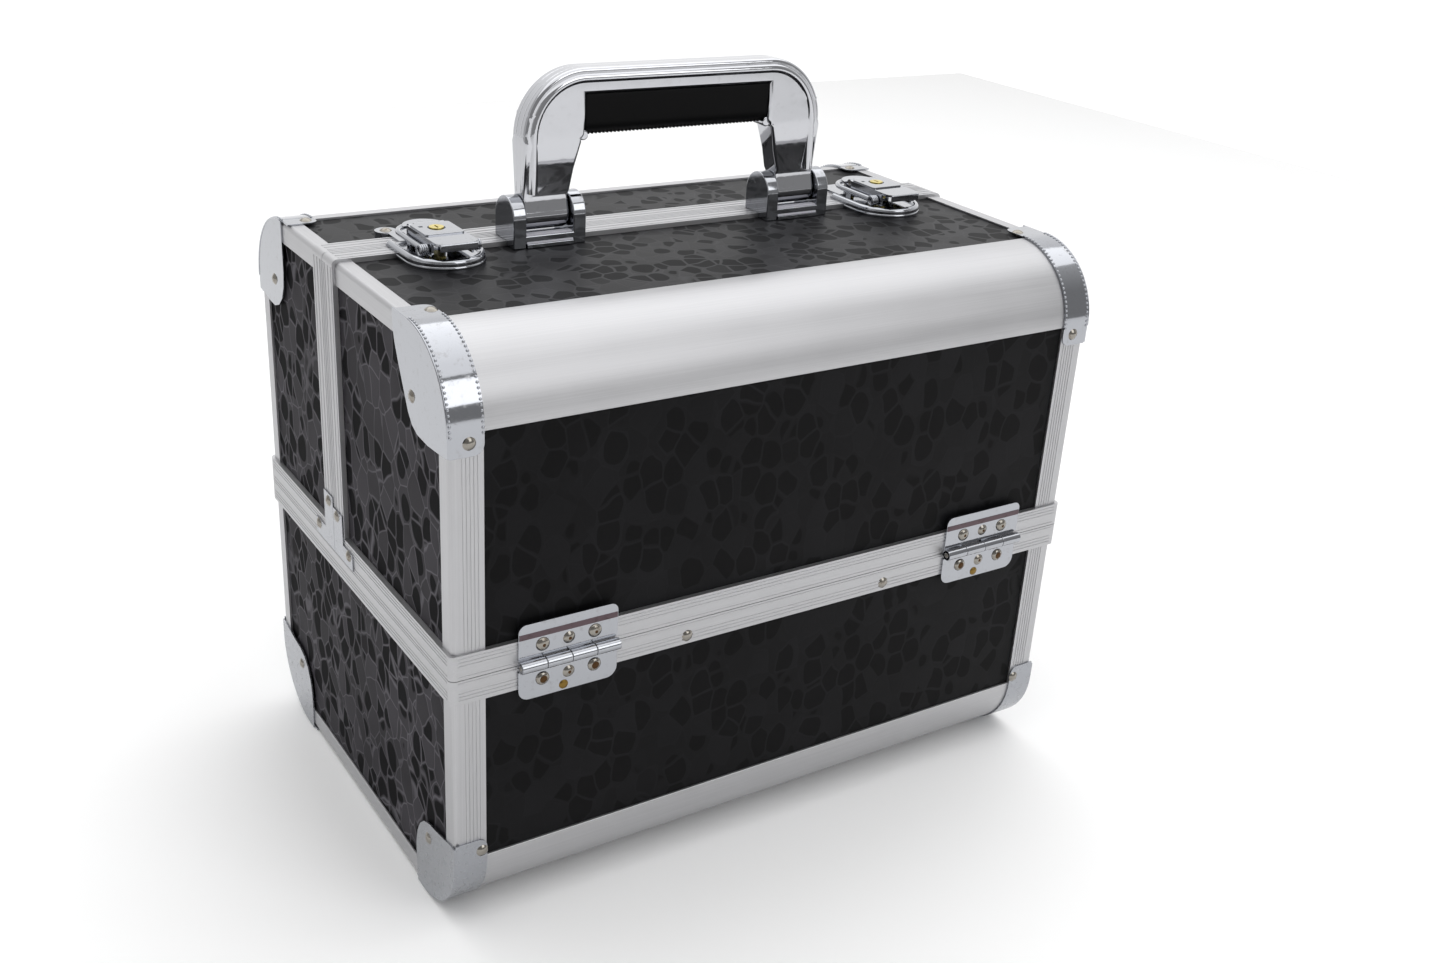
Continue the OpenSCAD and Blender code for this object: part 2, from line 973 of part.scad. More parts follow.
// Everything here is drawn about the latch's own middle line, x = 0
module latch_base() {
    plate_r = 19.5;
    bead = 2.2;
    plate_y = plate_r - 24;
    seat_z = top_z;
    z1 = top_z + plate_t;
    nose_z = lever_axis_z - 0.7;
    lug_x = 6.4;
    difference() {
        union() {
            // base plate on the seam rim, and the bead that stands on the board
            intersection() {
                union() {
                    translate([0, plate_y, board_z1])
                        cylinder(h = z1 - board_z1, r = plate_r);
                    box([-plate_r, plate_y, board_z1], [plate_r, seam_front - 0.3, z1]);
                }
                box([-plate_r, -40, board_z1], [plate_r, seam_front - 0.3, z1]);
            }
            // ears that hold the lever's pin, and the nose over the keeper
            for (side = [-1, 1]) {
                x = side * (ear_in + ear_out) / 2;
                half = (ear_out - ear_in) / 2;
                rod_x(x - half, x + half, lever_axis_y, lever_axis_z, lever_knuckle_r);
                box([x - half, lever_axis_y - lever_knuckle_r, z1 - eps],
                    [x + half, lever_axis_y + lever_knuckle_r, lever_axis_z]);
                box([x - half, lever_axis_y, nose_z],
                    [x + half, nose_y + 1.5, nose_z + plate_t]);
            }
            intersection() {
                translate([0, nose_y, nose_z]) cylinder(h = plate_t, r = lever_w / 2);
                box([-20, nose_y + 0.8, nose_z], [20, 40, nose_z + plate_t]);
            }
            // slotted lug that the lock's cam turns into
            box([lug_x, lock_y - 3, z1 - eps], [lug_x + 1.4, lock_y + 3, z1 + 6]);
        }
        // hollow under the plate, inside the bead
        difference() {
            union() {
                translate([0, plate_y, board_z1 - 1])
                    cylinder(h = seat_z - board_z1 + 1, r = plate_r - bead);
                box([bead - plate_r, plate_y, board_z1 - 1],
                    [plate_r - bead, 30, seat_z]);
            }
            box([-plate_r, seam_front, board_z1 - 2], [plate_r, 40, seat_z + 1]);
        }
        // seat on the seam rim
        box([-plate_r - 1, seam_y0 - 0.2, board_z1 - 1], [plate_r + 1, 30, seat_z]);
        // slot of the lug, open at the front
        box([lug_x - 1, lock_y - 4, z1 + 1.6], [lug_x + 3, lock_y + 2, z1 + 4.4]);
        rod_x(-12, 12, lever_axis_y, lever_axis_z, lever_pin_r);
    }
}

module left_latch_base() {
    color(chrome) translate([-latch_x, 0, 0]) latch_base();
}

module right_latch_base() {
    color(chrome) translate([latch_x, 0, 0]) latch_base();
}

module latch_lever_pins() {
    color(chrome) both_ends() translate([latch_x, 0, 0])
        rod_x(-ear_out, ear_out, lever_axis_y, lever_axis_z, lever_pin_r);
}

module lever() {
    half = lever_w / 2;
    z0 = lever_z1 - lever_t;
    notch_y = lever_axis_y - lever_knuckle_r - 0.4;
    skirt_t = 1.2;
    difference() {
        union() {
            box([-half, lever_front, z0], [half, notch_y, lever_z1]);
            box([-knuckle_half, notch_y - eps, z0],
                [knuckle_half, lever_axis_y, lever_z1]);
            rod_x(-knuckle_half, knuckle_half, lever_axis_y, lever_axis_z,
                lever_knuckle_r);
            for (side = [-1, 1]) {
                x = side * (half - skirt_t / 2);
                box([x - skirt_t / 2, bail_axis_y - 4, bail_z - 2.6],
                    [x + skirt_t / 2, notch_y - 1, z0 + eps]);
            }
        }
        rod_x(-12, 12, lever_axis_y, lever_axis_z, lever_pin_r + running);
        rod_x(-20, 20, bail_axis_y, bail_z, bail_r + running);
        translate([0, lock_y, z0 - 1]) cylinder(h = 5, r = lock_neck_r + running);
    }
}

module left_latch_lever() {
    color(chrome) translate([-latch_x, 0, 0]) lever();
}

module right_latch_lever() {
    color(chrome) translate([latch_x, 0, 0]) lever();
}

// Wire loop: its ends turn in the lever's skirts and its bow lies round the nose
module bail() {
    rotate_y = nose_y - bail_axis_y;
    translate([0, nose_y, bail_z]) rotate_extrude(angle = 180)
        translate([bail_half, 0]) circle(bail_r);
    for (side = [-1, 1]) {
        x = side * bail_half;
        translate([x, bail_axis_y, bail_z]) rotate([-90, 0, 0])
            cylinder(h = rotate_y, r = bail_r);
        translate([x, bail_axis_y, bail_z]) sphere(bail_r);
        inner = lever_w / 2 - 2.2;
        rod_x(side > 0 ? inner : -bail_half, side > 0 ? bail_half : -inner,
            bail_axis_y, bail_z, bail_r);
    }
}

module left_latch_bail() {
    color(chrome) translate([-latch_x, 0, 0]) bail();
}

module right_latch_bail() {
    color(chrome) translate([latch_x, 0, 0]) bail();
}

// Lock cylinder: a brass plug with a key slot on top and a cam below
module lock_cylinder() {
    z0 = top_z + plate_t + 2.3;
    cam_t = 1.4;
    cam_len = 7.6;
    head = 1.2;
    difference() {
        union() {
            translate([0, 0, z0]) cylinder(h = lever_z1 + head - z0, r = lock_neck_r);
            translate([0, 0, z0]) cylinder(h = lever_z1 - lever_t - z0 - 0.2, r = lock_r);
            translate([0, 0, lever_z1 + 0.15]) cylinder(h = head - 0.15, r = lock_r);
            box([-1.6, -cam_len, z0], [1.6, 0, z0 + cam_t]);
        }
        box([-0.45, -2.2, lever_z1 - 2], [0.45, 2.2, lever_z1 + head + 1]);
    }
}

module left_lock_cylinder() {
    color(brass) translate([-latch_x, lock_y, 0]) lock_cylinder();
}

module right_lock_cylinder() {
    color(brass) translate([latch_x, lock_y, 0]) lock_cylinder();
}

// Keeper on the rear lid: a plate with two riveted ears and an upright catch
module keeper() {
    z1 = top_z + plate_t;
    ear_r = 6;
    catch_half = 3.2;
    difference() {
        union() {
            box([-12, seam_rear + 0.4, top_z], [12, seam_y1 + 8, z1]);
            for (side = [-1, 1])
                translate([side * keeper_rivet_x, keeper_rivet_y, board_z1])
                    cylinder(h = z1 - board_z1, r = ear_r - 0.5);
            box([-catch_half, 26.8, z1 - eps], [catch_half, 28.8, bail_z + 0.4]);
        }
        for (side = [-1, 1])
            translate([side * keeper_rivet_x, keeper_rivet_y, board_z1 - 1])
                cylinder(h = 8, r = shank_r);
    }
}

module latch_keepers() {
    color(chrome) both_ends() translate([latch_x, 0, 0]) keeper();
}

// ---------------------------------------------------------------- trays

// A point of the front linkage in Y and Z, from the hinge axis inwards
function on_lid(reach) = [-axis_y + reach, base_h + reach];
function on_arm(reach, arm_in) = [-axis_y + arm_in + reach, base_h - arm_drop + reach];

module arm_pivot_shanks(r) {
    for (rear = [false, true]) {
        p = on_arm(0, rear ? rear_arm_in : front_arm_in);
        at_side(rear) both_ends() rod_x(arm_x0 - 1.2, inner_x + 2, p[0], p[1], r);
    }
}

// Rivets on which the arms turn, each with a head inside its arm
module arm_pivots() {
    color(chrome) {
        arm_pivot_shanks(tray_pin_r);
        for (rear = [false, true]) {
            p = on_arm(0, rear ? rear_arm_in : front_arm_in);
            at_side(rear) both_ends() {
                rod_x(arm_x0 - 1.2, arm_x0 - 0.2, p[0], p[1], 3.6);
                rod_x(arm_x0 + arm_t + 0.2, rim_x - rim_w, p[0], p[1], 3.6);
            }
        }
    }
}

// Pins of a lid on which its trays turn
module lid_pivot_shanks(rear) {
    for (reach = [lower_reach, upper_reach]) {
        p = on_lid(reach);
        at_side(rear) both_ends()
            rod_x(tray_x - tray_t - 0.5, inner_x + 2, p[0], p[1], tray_pin_r);
    }
}

module lid_pivots(rear) {
    lid_pivot_shanks(rear);
    for (reach = [lower_reach, upper_reach]) {
        p = on_lid(reach);
        at_side(rear) both_ends()
            rod_x(tray_x + 0.3, inner_x, p[0], p[1], 4);
    }
}

module front_tray_pivots() {
    color(chrome) lid_pivots(false);
}

module rear_tray_pivots() {
    color(chrome) lid_pivots(true);
}

// A tray between two Y values: four walls, a floor and dividers across it
module tray(y0, y1, z, cells, reach, arm_in) {
    c = on_lid(reach);
    b = on_arm(reach, arm_in);
    pitch = (2 * tray_x - tray_t) / cells;
    difference() {
        box([-tray_x, y0, z], [tray_x, y1, z + tray_h]);
        for (k = [0:cells - 1]) {
            x0 = -tray_x + tray_t + k * pitch;
            box([x0, y0 + tray_t, z + tray_t],
                [x0 + pitch - tray_t, y1 - tray_t, z + tray_h + 1]);
        }
        rod_x(-tray_x - 1, tray_x + 1, c[0], c[1], tray_pin_r + running);
        both_ends() rod_x(tray_x - tray_t - 1, tray_x + 1, b[0], b[1],
            tray_pin_r + 0.3);
    }
}

module front_tray(z, cells, reach) {
    color(black) tray(-tray_front_y, front_tray_in, z, cells, reach, front_arm_in);
}

module rear_tray(z, cells, reach) {
    color(black) mirror([0, 1, 0])
        tray(-tray_front_y, -rear_tray_in, z, cells, reach, rear_arm_in);
}

module front_lower_tray() {
    front_tray(lower_z, 2, lower_reach);
}

module front_upper_tray() {
    front_tray(upper_z, 3, upper_reach);
}

module rear_lower_tray() {
    rear_tray(lower_z, 2, lower_reach);
}

module rear_upper_tray() {
    rear_tray(upper_z, 3, upper_reach);
}

// Flat steel arms with a tray pin near the middle and one at the upper end
module tray_arms(arm_in) {
    a = on_arm(0, arm_in);
    length = upper_reach * sqrt(2);
    both_ends() difference() {
        union() {
            along_x(arm_x0, arm_x0 + arm_t) translate(a) rotate(45) {
                translate([0, -arm_w / 2]) square([length, arm_w]);
                circle(arm_w / 2);
                translate([length, 0]) circle(arm_w / 2);
            }
            for (reach = [lower_reach, upper_reach]) {
                b = on_arm(reach, arm_in);
                rod_x(tray_x - tray_t - 0.5, arm_x0 + eps, b[0], b[1], tray_pin_r);
            }
        }
        rod_x(arm_x0 - 1, arm_x0 + arm_t + 1, a[0], a[1], tray_pin_r + running);
    }
}

module front_tray_arms() {
    color(satin) tray_arms(front_arm_in);
}

module rear_tray_arms() {
    color(satin) mirror([0, 1, 0]) tray_arms(rear_arm_in);
}

// ---------------------------------------------------------------- nodes

base_front_panel();
base_rear_panel();
base_end_panels();
base_bottom_panel();
base_rim();
base_corner_posts();
base_edge_bars();
base_end_angles();
base_corner_caps();
base_rivets();
base_lining();
base_hinge_leaves();
hinge_pins();
arm_pivots();
front_lid_front_panel();
front_lid_top_panel();
front_lid_end_panels();
front_lid_edge_bar();
front_lid_corner_posts();
front_lid_top_angles();
front_lid_rim();
front_lid_seam_rim();
front_lid_corner_caps();
front_lid_seam_plates();
front_lid_rivets();
front_lid_hinge_leaves();
front_tray_pivots();
handle_brackets();
handle_pins();
left_latch_base();
right_latch_base();
latch_lever_pins();
handle_frame();
handle_grip();
left_latch_lever();
left_latch_bail();
left_lock_cylinder();
right_latch_lever();
right_latch_bail();
right_lock_cylinder();
rear_lid_rear_panel();
rear_lid_top_panel();
rear_lid_end_panels();
rear_lid_edge_bar();
rear_lid_corner_posts();
rear_lid_top_angles();
rear_lid_rim();
rear_lid_seam_rim();
rear_lid_corner_caps();
rear_lid_seam_plates();
rear_lid_rivets();
rear_lid_hinge_leaves();
rear_tray_pivots();
latch_keepers();
front_lower_tray();
front_upper_tray();
rear_lower_tray();
rear_upper_tray();
front_tray_arms();
rear_tray_arms();
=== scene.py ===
import json
import math

import bpy
from mathutils import Matrix, Vector


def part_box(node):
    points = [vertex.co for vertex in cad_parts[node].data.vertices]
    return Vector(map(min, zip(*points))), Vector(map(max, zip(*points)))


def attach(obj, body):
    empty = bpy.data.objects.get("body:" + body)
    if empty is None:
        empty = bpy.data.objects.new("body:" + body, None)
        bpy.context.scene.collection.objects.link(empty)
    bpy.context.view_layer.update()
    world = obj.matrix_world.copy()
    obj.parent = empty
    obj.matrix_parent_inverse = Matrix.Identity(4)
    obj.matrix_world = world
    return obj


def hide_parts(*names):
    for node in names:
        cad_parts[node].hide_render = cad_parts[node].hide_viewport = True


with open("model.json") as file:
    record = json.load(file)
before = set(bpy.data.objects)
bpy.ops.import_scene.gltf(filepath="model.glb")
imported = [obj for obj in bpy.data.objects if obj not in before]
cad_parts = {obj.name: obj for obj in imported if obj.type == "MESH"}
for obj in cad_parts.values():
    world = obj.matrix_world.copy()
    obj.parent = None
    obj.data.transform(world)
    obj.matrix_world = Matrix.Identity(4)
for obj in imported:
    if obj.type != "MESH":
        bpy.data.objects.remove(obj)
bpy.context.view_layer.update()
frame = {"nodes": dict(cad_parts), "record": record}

record = frame["record"]
behaviour = record["behaviour"]
body_of = {part: body for body, parts in behaviour["bodies"].items() for part in parts}
MM = 0.001


def box_mm(part):
    """The lowest and the highest corner of a CAD part, in millimetres."""
    low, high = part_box(part)
    return low / MM, high / MM


def pivot_mm(name):
    """The point that a joint turns about, in millimetres."""
    place = [joint["pos_m"] for joint in behaviour["joints"] if joint["name"] == name][0]
    return [way / MM for way in place]


# ------------------------------------------------------------------ finishes

def linear(code):
    """An sRGB hex colour such as c8c9cb as an opaque linear colour."""
    values = [int(code[i:i + 2], 16) / 255 for i in (0, 2, 4)]
    return [v / 12.92 if v <= 0.04045 else ((v + 0.055) / 1.055) ** 2.4 for v in values] + [1.0]


def add(tree, kind, into=None, **settings):
    """Adds a node with its settings. into gives each input its value or the output that feeds it."""
    made = tree.nodes.new("ShaderNode" + kind)
    for name, value in settings.items():
        setattr(made, name, value)
    for name, value in (into or {}).items():
        if isinstance(value, bpy.types.NodeSocket):
            tree.links.new(value, made.inputs[name])
        else:
            made.inputs[name].default_value = value
    return made


def new_finish(name):
    """An empty material, its node tree and the place of a point on the case, in metres."""
    finish = bpy.data.materials.new(name)
    finish.use_nodes = True
    finish.node_tree.nodes.clear()
    tree = finish.node_tree
    return finish, tree, add(tree, "TexCoord").outputs["Object"]


def surface(tree, **into):
    """The principled shader and the output that it feeds."""
    shader = add(tree, "BsdfPrincipled", {key.replace("_", " "): v for key, v in into.items()})
    add(tree, "OutputMaterial", {"Surface": shader.outputs["BSDF"]})


def foil_laminate(name, ground, cell, line, rough, sheen):
    """Decorative PVC foil on board, hot stamped with a pebble pattern. Each pebble is a smooth dark
    lens about 11 mm across, and the ground between them is a greyer satin with a thin pale outline."""
    finish, tree, place = new_finish(name)
    # the outlines wander by about 2 mm, so no pebble has straight sides
    wander = add(tree, "TexNoise", {"Vector": place, "Scale": 1 / 0.016, "Detail": 1.0})
    centred = add(tree, "VectorMath", {0: wander.outputs["Color"], 1: (0.5, 0.5, 0.5)},
                  operation="SUBTRACT")
    moved = add(tree, "VectorMath", {0: centred.outputs[0], "Scale": 0.0052}, operation="SCALE")
    drawn = add(tree, "VectorMath", {0: place, 1: moved.outputs[0]}, operation="ADD").outputs[0]
    # the pebbles stand a third taller than they are wide
    pebbled = add(tree, "Mapping", {"Vector": drawn, "Scale": (1.1, 1.1, 0.82)}).outputs[0]
    pitch = 1 / 0.0116
    edge = add(tree, "TexVoronoi", {"Vector": pebbled, "Scale": pitch, "Randomness": 0.85},
               feature="DISTANCE_TO_EDGE").outputs["Distance"]
    cells = add(tree, "TexVoronoi", {"Vector": pebbled, "Scale": pitch, "Randomness": 0.85})
    own = add(tree, "SeparateColor", {"Color": cells.outputs["Color"]})
    # three pebbles in five are dark, and the others are only outlined
    is_dark = add(tree, "MapRange", {"Value": own.outputs[0], "From Min": 0.63, "From Max": 0.67,
                                     "To Min": 1.0, "To Max": 0.0}).outputs[0]
    inside = add(tree, "MapRange", {"Value": edge, "From Min": 0.04, "From Max": 0.07}).outputs[0]
    rounded = add(tree, "MapRange", {"Value": cells.outputs["Distance"], "From Min": 0.60, "From Max": 0.63,
                                     "To Min": 1.0, "To Max": 0.0}).outputs[0]
    inside = add(tree, "Math", {0: inside, 1: rounded}, operation="MINIMUM").outputs[0]
    dark = add(tree, "Math", {0: is_dark, 1: inside}, operation="MULTIPLY").outputs[0]
    outline = add(tree, "MapRange", {"Value": edge, "From Min": 0.012, "From Max": 0.034,
                                     "To Min": 1.0, "To Max": 0.0}).outputs[0]
    # the ink is uneven over about 40 mm
    uneven = add(tree, "TexNoise", {"Vector": place, "Scale": 1 / 0.04, "Detail": 2.0}).outputs["Fac"]
    patchy = add(tree, "MapRange", {"Value": uneven, "From Min": 0.3, "From Max": 0.7,
                                    "To Min": 0.80, "To Max": 1.18}).outputs[0]
    shade = add(tree, "MapRange", {"Value": own.outputs[1], "To Min": 0.70, "To Max": 1.12}).outputs[0]
    toned = add(tree, "Math", {0: patchy, 1: shade}, operation="MULTIPLY").outputs[0]
    base = add(tree, "Mix", {0: outline, 6: linear(ground), 7: linear(line)}, data_type="RGBA").outputs[2]
    inked = add(tree, "Mix", {0: dark, 6: base, 7: linear(cell)}, data_type="RGBA").outputs[2]
    colour = add(tree, "VectorMath", {0: inked, "Scale": toned}, operation="SCALE").outputs[0]
    # grain of the foil, about 0.6 mm, drawn coarse enough to show
    grain = add(tree, "TexNoise", {"Vector": place, "Scale": 1 / 0.0006, "Detail": 1.0}).outputs["Fac"]
    gloss = add(tree, "MapRange", {"Value": dark, "To Min": rough, "To Max": rough + 0.12}).outputs[0]
    relief = add(tree, "Math", {0: inside, 1: grain}, operation="MULTIPLY_ADD").outputs[0]
    bump = add(tree, "Bump", {"Height": relief, "Distance": 0.00006, "Strength": 0.5}).outputs[0]
    surface(tree, Base_Color=colour, Roughness=gloss, Normal=bump, Specular_IOR_Level=sheen)
    return finish


def satin_aluminium(name, grain_axis, colour="bebec0", rough=0.46):
    """Anodised aluminium extrusion. The die leaves fine lines along the bar, about 0.4 mm apart,
    and the etched surface scatters light, so that it looks almost white."""
    finish, tree, place = new_finish(name)
    across = [1 / 0.0004] * 3
    across[grain_axis] = 1 / 0.09
    lines = add(tree, "Mapping", {"Vector": place, "Scale": across}).outputs[0]
    streak = add(tree, "TexNoise", {"Vector": lines, "Scale": 1.0, "Detail": 2.0}).outputs["Fac"]
    # handling leaves duller patches of about 30 mm
    worn = add(tree, "TexNoise", {"Vector": place, "Scale": 1 / 0.03, "Detail": 3.0}).outputs["Fac"]
    both = add(tree, "Math", {0: worn, 1: 0.35, 2: streak}, operation="MULTIPLY_ADD").outputs[0]
    tone = add(tree, "MapRange", {"Value": both, "From Min": 0.4, "From Max": 1.0}).outputs[0]
    tint = add(tree, "Mix", {0: tone, 6: linear("b2b2b4"), 7: linear(colour)}, data_type="RGBA").outputs[2]
    gloss = add(tree, "MapRange", {"Value": both, "From Min": 0.4, "From Max": 1.0,
                                   "To Min": rough - 0.04, "To Max": rough + 0.04}).outputs[0]
    bump = add(tree, "Bump", {"Height": streak, "Distance": 0.00001, "Strength": 0.6}).outputs[0]
    surface(tree, Base_Color=tint, Metallic=1.0, Roughness=gloss, Normal=bump)
    return finish


def plated_steel(name, colour="a6a8ad", rough=0.09, stain="77726c", stained=0.25):
    """Nickel-chrome plating on pressed steel. It mirrors its surroundings, with a faint orange peel
    of about 6 mm from the pressing and small dull stains where the plating has thinned."""
    finish, tree, place = new_finish(name)
    peel = add(tree, "TexNoise", {"Vector": place, "Scale": 1 / 0.006, "Detail": 1.0}).outputs["Fac"]
    spots = add(tree, "TexNoise", {"Vector": place, "Scale": 1 / 0.0035, "Detail": 5.0, "Roughness": 0.65})
    dull = add(tree, "MapRange", {"Value": spots.outputs["Fac"], "From Min": 0.56, "From Max": 0.72,
                                  "To Max": stained}).outputs[0]
    tint = add(tree, "Mix", {0: dull, 6: linear(colour), 7: linear(stain)}, data_type="RGBA").outputs[2]
    gloss = add(tree, "MapRange", {"Value": dull, "To Min": rough, "To Max": rough + 0.5}).outputs[0]
    bump = add(tree, "Bump", {"Height": peel, "Distance": 0.00008, "Strength": 0.35}).outputs[0]
    surface(tree, Base_Color=tint, Metallic=1.0, Roughness=gloss, Normal=bump)
    return finish


def turned_brass(name):
    """Machined brass of the lock plugs, with fine turning marks and some tarnish."""
    finish, tree, place = new_finish(name)
    marks = add(tree, "TexNoise", {"Vector": place, "Scale": 1 / 0.0004, "Detail": 2.0}).outputs["Fac"]
    tarnish = add(tree, "TexNoise", {"Vector": place, "Scale": 1 / 0.003, "Detail": 3.0}).outputs["Fac"]
    tint = add(tree, "Mix", {0: tarnish, 6: linear("a08a3c"), 7: linear("efe08c")},
               data_type="RGBA").outputs[2]
    gloss = add(tree, "MapRange", {"Value": marks, "To Min": 0.2, "To Max": 0.38}).outputs[0]
    surface(tree, Base_Color=tint, Metallic=1.0, Roughness=gloss)
    return finish


def moulded_plastic(name, colour, light, rough, grain_mm):
    """Injection-moulded plastic with a spark-eroded grain of the given size in millimetres."""
    finish, tree, place = new_finish(name)
    grain = add(tree, "TexNoise", {"Vector": place, "Scale": 1 / (grain_mm * MM),
                                   "Detail": 2.0}).outputs["Fac"]
    # handling wears it paler over about 20 mm
    rubbed = add(tree, "TexNoise", {"Vector": place, "Scale": 1 / 0.02, "Detail": 3.0}).outputs["Fac"]
    tint = add(tree, "Mix", {0: rubbed, 6: linear(colour), 7: linear(light)}, data_type="RGBA").outputs[2]
    gloss = add(tree, "MapRange", {"Value": grain, "To Min": rough - 0.08,
                                   "To Max": rough + 0.1}).outputs[0]
    bump = add(tree, "Bump", {"Height": grain, "Distance": 0.00005, "Strength": 0.6}).outputs[0]
    surface(tree, Base_Color=tint, Roughness=gloss, Normal=bump, Specular_IOR_Level=0.12)
    return finish


def felt(name, colour, light):
    """Needled polyester felt. Its fibres tangle over about 0.8 mm and catch light at the edges."""
    finish, tree, place = new_finish(name)
    fibres = add(tree, "TexNoise", {"Vector": place, "Scale": 1 / 0.0008, "Detail": 6.0, "Roughness": 0.7})
    tint = add(tree, "Mix", {0: fibres.outputs["Fac"], 6: linear(colour), 7: linear(light)},
               data_type="RGBA").outputs[2]
    bump = add(tree, "Bump", {"Height": fibres.outputs["Fac"], "Distance": 0.0003,
                              "Strength": 0.8}).outputs[0]
    surface(tree, Base_Color=tint, Roughness=0.95, Normal=bump, Sheen_Weight=0.25, Sheen_Roughness=0.5)
    return finish


# one foil in three copies with light and shade painted into their colours: the ends are painted a paler
# grey as lit, the fronts are painted near black as shaded, and the tops are painted in between
laminate_painted_lighter_end = foil_laminate("foil_laminate_painted_lighter_ends", "363438", "0c0b0e", "57555a", 0.5, 0.03)
laminate_painted_darker_front = foil_laminate("foil_laminate_painted_darker_fronts", "101012", "09090a", "121214", 0.5, 0.10)
laminate_painted_mid_top = foil_laminate("foil_laminate_painted_mid_tops", "262628", "0f0f11", "2f2f31", 0.44, 0.10)
aluminium = [satin_aluminium("satin_aluminium_" + way, axis) for axis, way in enumerate("xyz")]
pressed = plated_steel("plated_pressed_steel")
satin_pressed = plated_steel("dull_plated_steel", "a2a4a9", 0.27, "8c8b8a", 0.3)
plated_handle = plated_steel("plated_handle", "bcbdc1", 0.05, "8a8886", 0.1)
creased = plated_steel("dark_crease_strip", "5c4f53", 0.3, "40332f", 0.6)
rust = plated_steel("rusted_rivet_core", "4f3a26", 0.45, "2c221a", 0.7)
rivet_metal = plated_steel("plated_rivets", "8f8b84", 0.18, "5a452c", 0.8)
aged_brass = plated_steel("aged_brass_rivet", "7c6434", 0.35, "4c3a20", 0.6)
brass = turned_brass("turned_brass")
grip_black = moulded_plastic("black_moulded_grip", "030304", "070708", 0.55, 0.5)
packing_grey = moulded_plastic("pale_nylon_packing", "b4b4bc", "c2c2ca", 0.45, 0.5)
tray_black = felt("flocked_tray", "0b0b0c", "1c1c1f")
lining_black = felt("black_felt_lining", "0a0a0b", "19191b")


# ------------------------------------------------------------------ modelling

def alone(piece):
    """Selects one object in object mode."""
    if bpy.context.mode != "OBJECT":
        bpy.ops.object.mode_set(mode="OBJECT")
    bpy.ops.object.select_all(action="DESELECT")
    piece.select_set(True)
    bpy.context.view_layer.objects.active = piece


def edit(piece, select="SELECT", kind="VERT"):
    """Goes into edit mode with all or nothing selected."""
    alone(piece)
    bpy.ops.object.mode_set(mode="EDIT")
    bpy.ops.mesh.select_mode(type=kind)
    bpy.ops.mesh.select_all(action=select)


def soften(piece, width, segments=2):
    """Bevels the edges sharper than 35 degrees by width, in millimetres, and shades those under 40
    degrees smooth."""
    alone(piece)
    if width:
        bevel = piece.modifiers.new("edge", "BEVEL")
        bevel.width = width * MM
        bevel.segments = segments
        bevel.limit_method = "ANGLE"
        bevel.angle_limit = math.radians(35)
        bpy.ops.object.modifier_apply(modifier=bevel.name)
    bpy.ops.object.shade_smooth_by_angle(angle=math.radians(40))
    weighted = piece.modifiers.new("normals", "WEIGHTED_NORMAL")
    weighted.keep_sharp = True
    bpy.ops.object.modifier_apply(modifier=weighted.name)


def settle(piece, finish, body):
    """Puts the piece's place in its mesh, gives it its finish and sets it on its body."""
    alone(piece)
    bpy.ops.object.transform_apply(location=True, rotation=True, scale=True)
    piece.data.materials.clear()
    piece.data.materials.append(finish)
    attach(piece, body)


def edges_where(piece, test):
    """Selects the edges whose two ends pass the test."""
    edit(piece, "DESELECT", "EDGE")
    bpy.ops.object.mode_set(mode="OBJECT")
    points = piece.data.vertices
    for edge in piece.data.edges:
        a, b = (points[i].co / MM for i in edge.vertices)
        edge.select = test(a, b)
    bpy.ops.object.mode_set(mode="EDIT")


def dress(part, finish, width=0.3, segments=2, corners=None, radius=0):
    """A piece made from a copy of a CAD part, with its edges softened. corners picks the edges
    that the press or the mould rounds more, by radius in millimetres."""
    piece = bpy.data.objects.new(part + ".piece", frame["nodes"][part].data.copy())
    bpy.context.scene.collection.objects.link(piece)
    edit(piece)
    bpy.ops.mesh.remove_doubles(threshold=2e-6)
    bpy.ops.mesh.dissolve_limited(angle_limit=math.radians(0.4))
    if corners:
        edges_where(piece, corners)
        bpy.ops.mesh.bevel(offset=radius * MM, segments=6, affect="EDGES")
    soften(piece, width, segments)
    settle(piece, finish, body_of[part])
    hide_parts(part)
    return piece


def block(low, high, width=0.3, segments=2):
    """A bar between two corners in millimetres, its edges bevelled."""
    low, high = Vector(low) * MM, Vector(high) * MM
    bpy.ops.object.select_all(action="DESELECT")
    bpy.ops.mesh.primitive_cube_add(size=1, location=(low + high) / 2, scale=high - low)
    piece = bpy.context.active_object
    alone(piece)
    bpy.ops.object.transform_apply(location=True, rotation=True, scale=True)
    edit(piece)
    if width:
        bpy.ops.mesh.bevel(offset=width * MM, segments=segments, affect="EDGES")
    bpy.ops.object.mode_set(mode="OBJECT")
    return piece


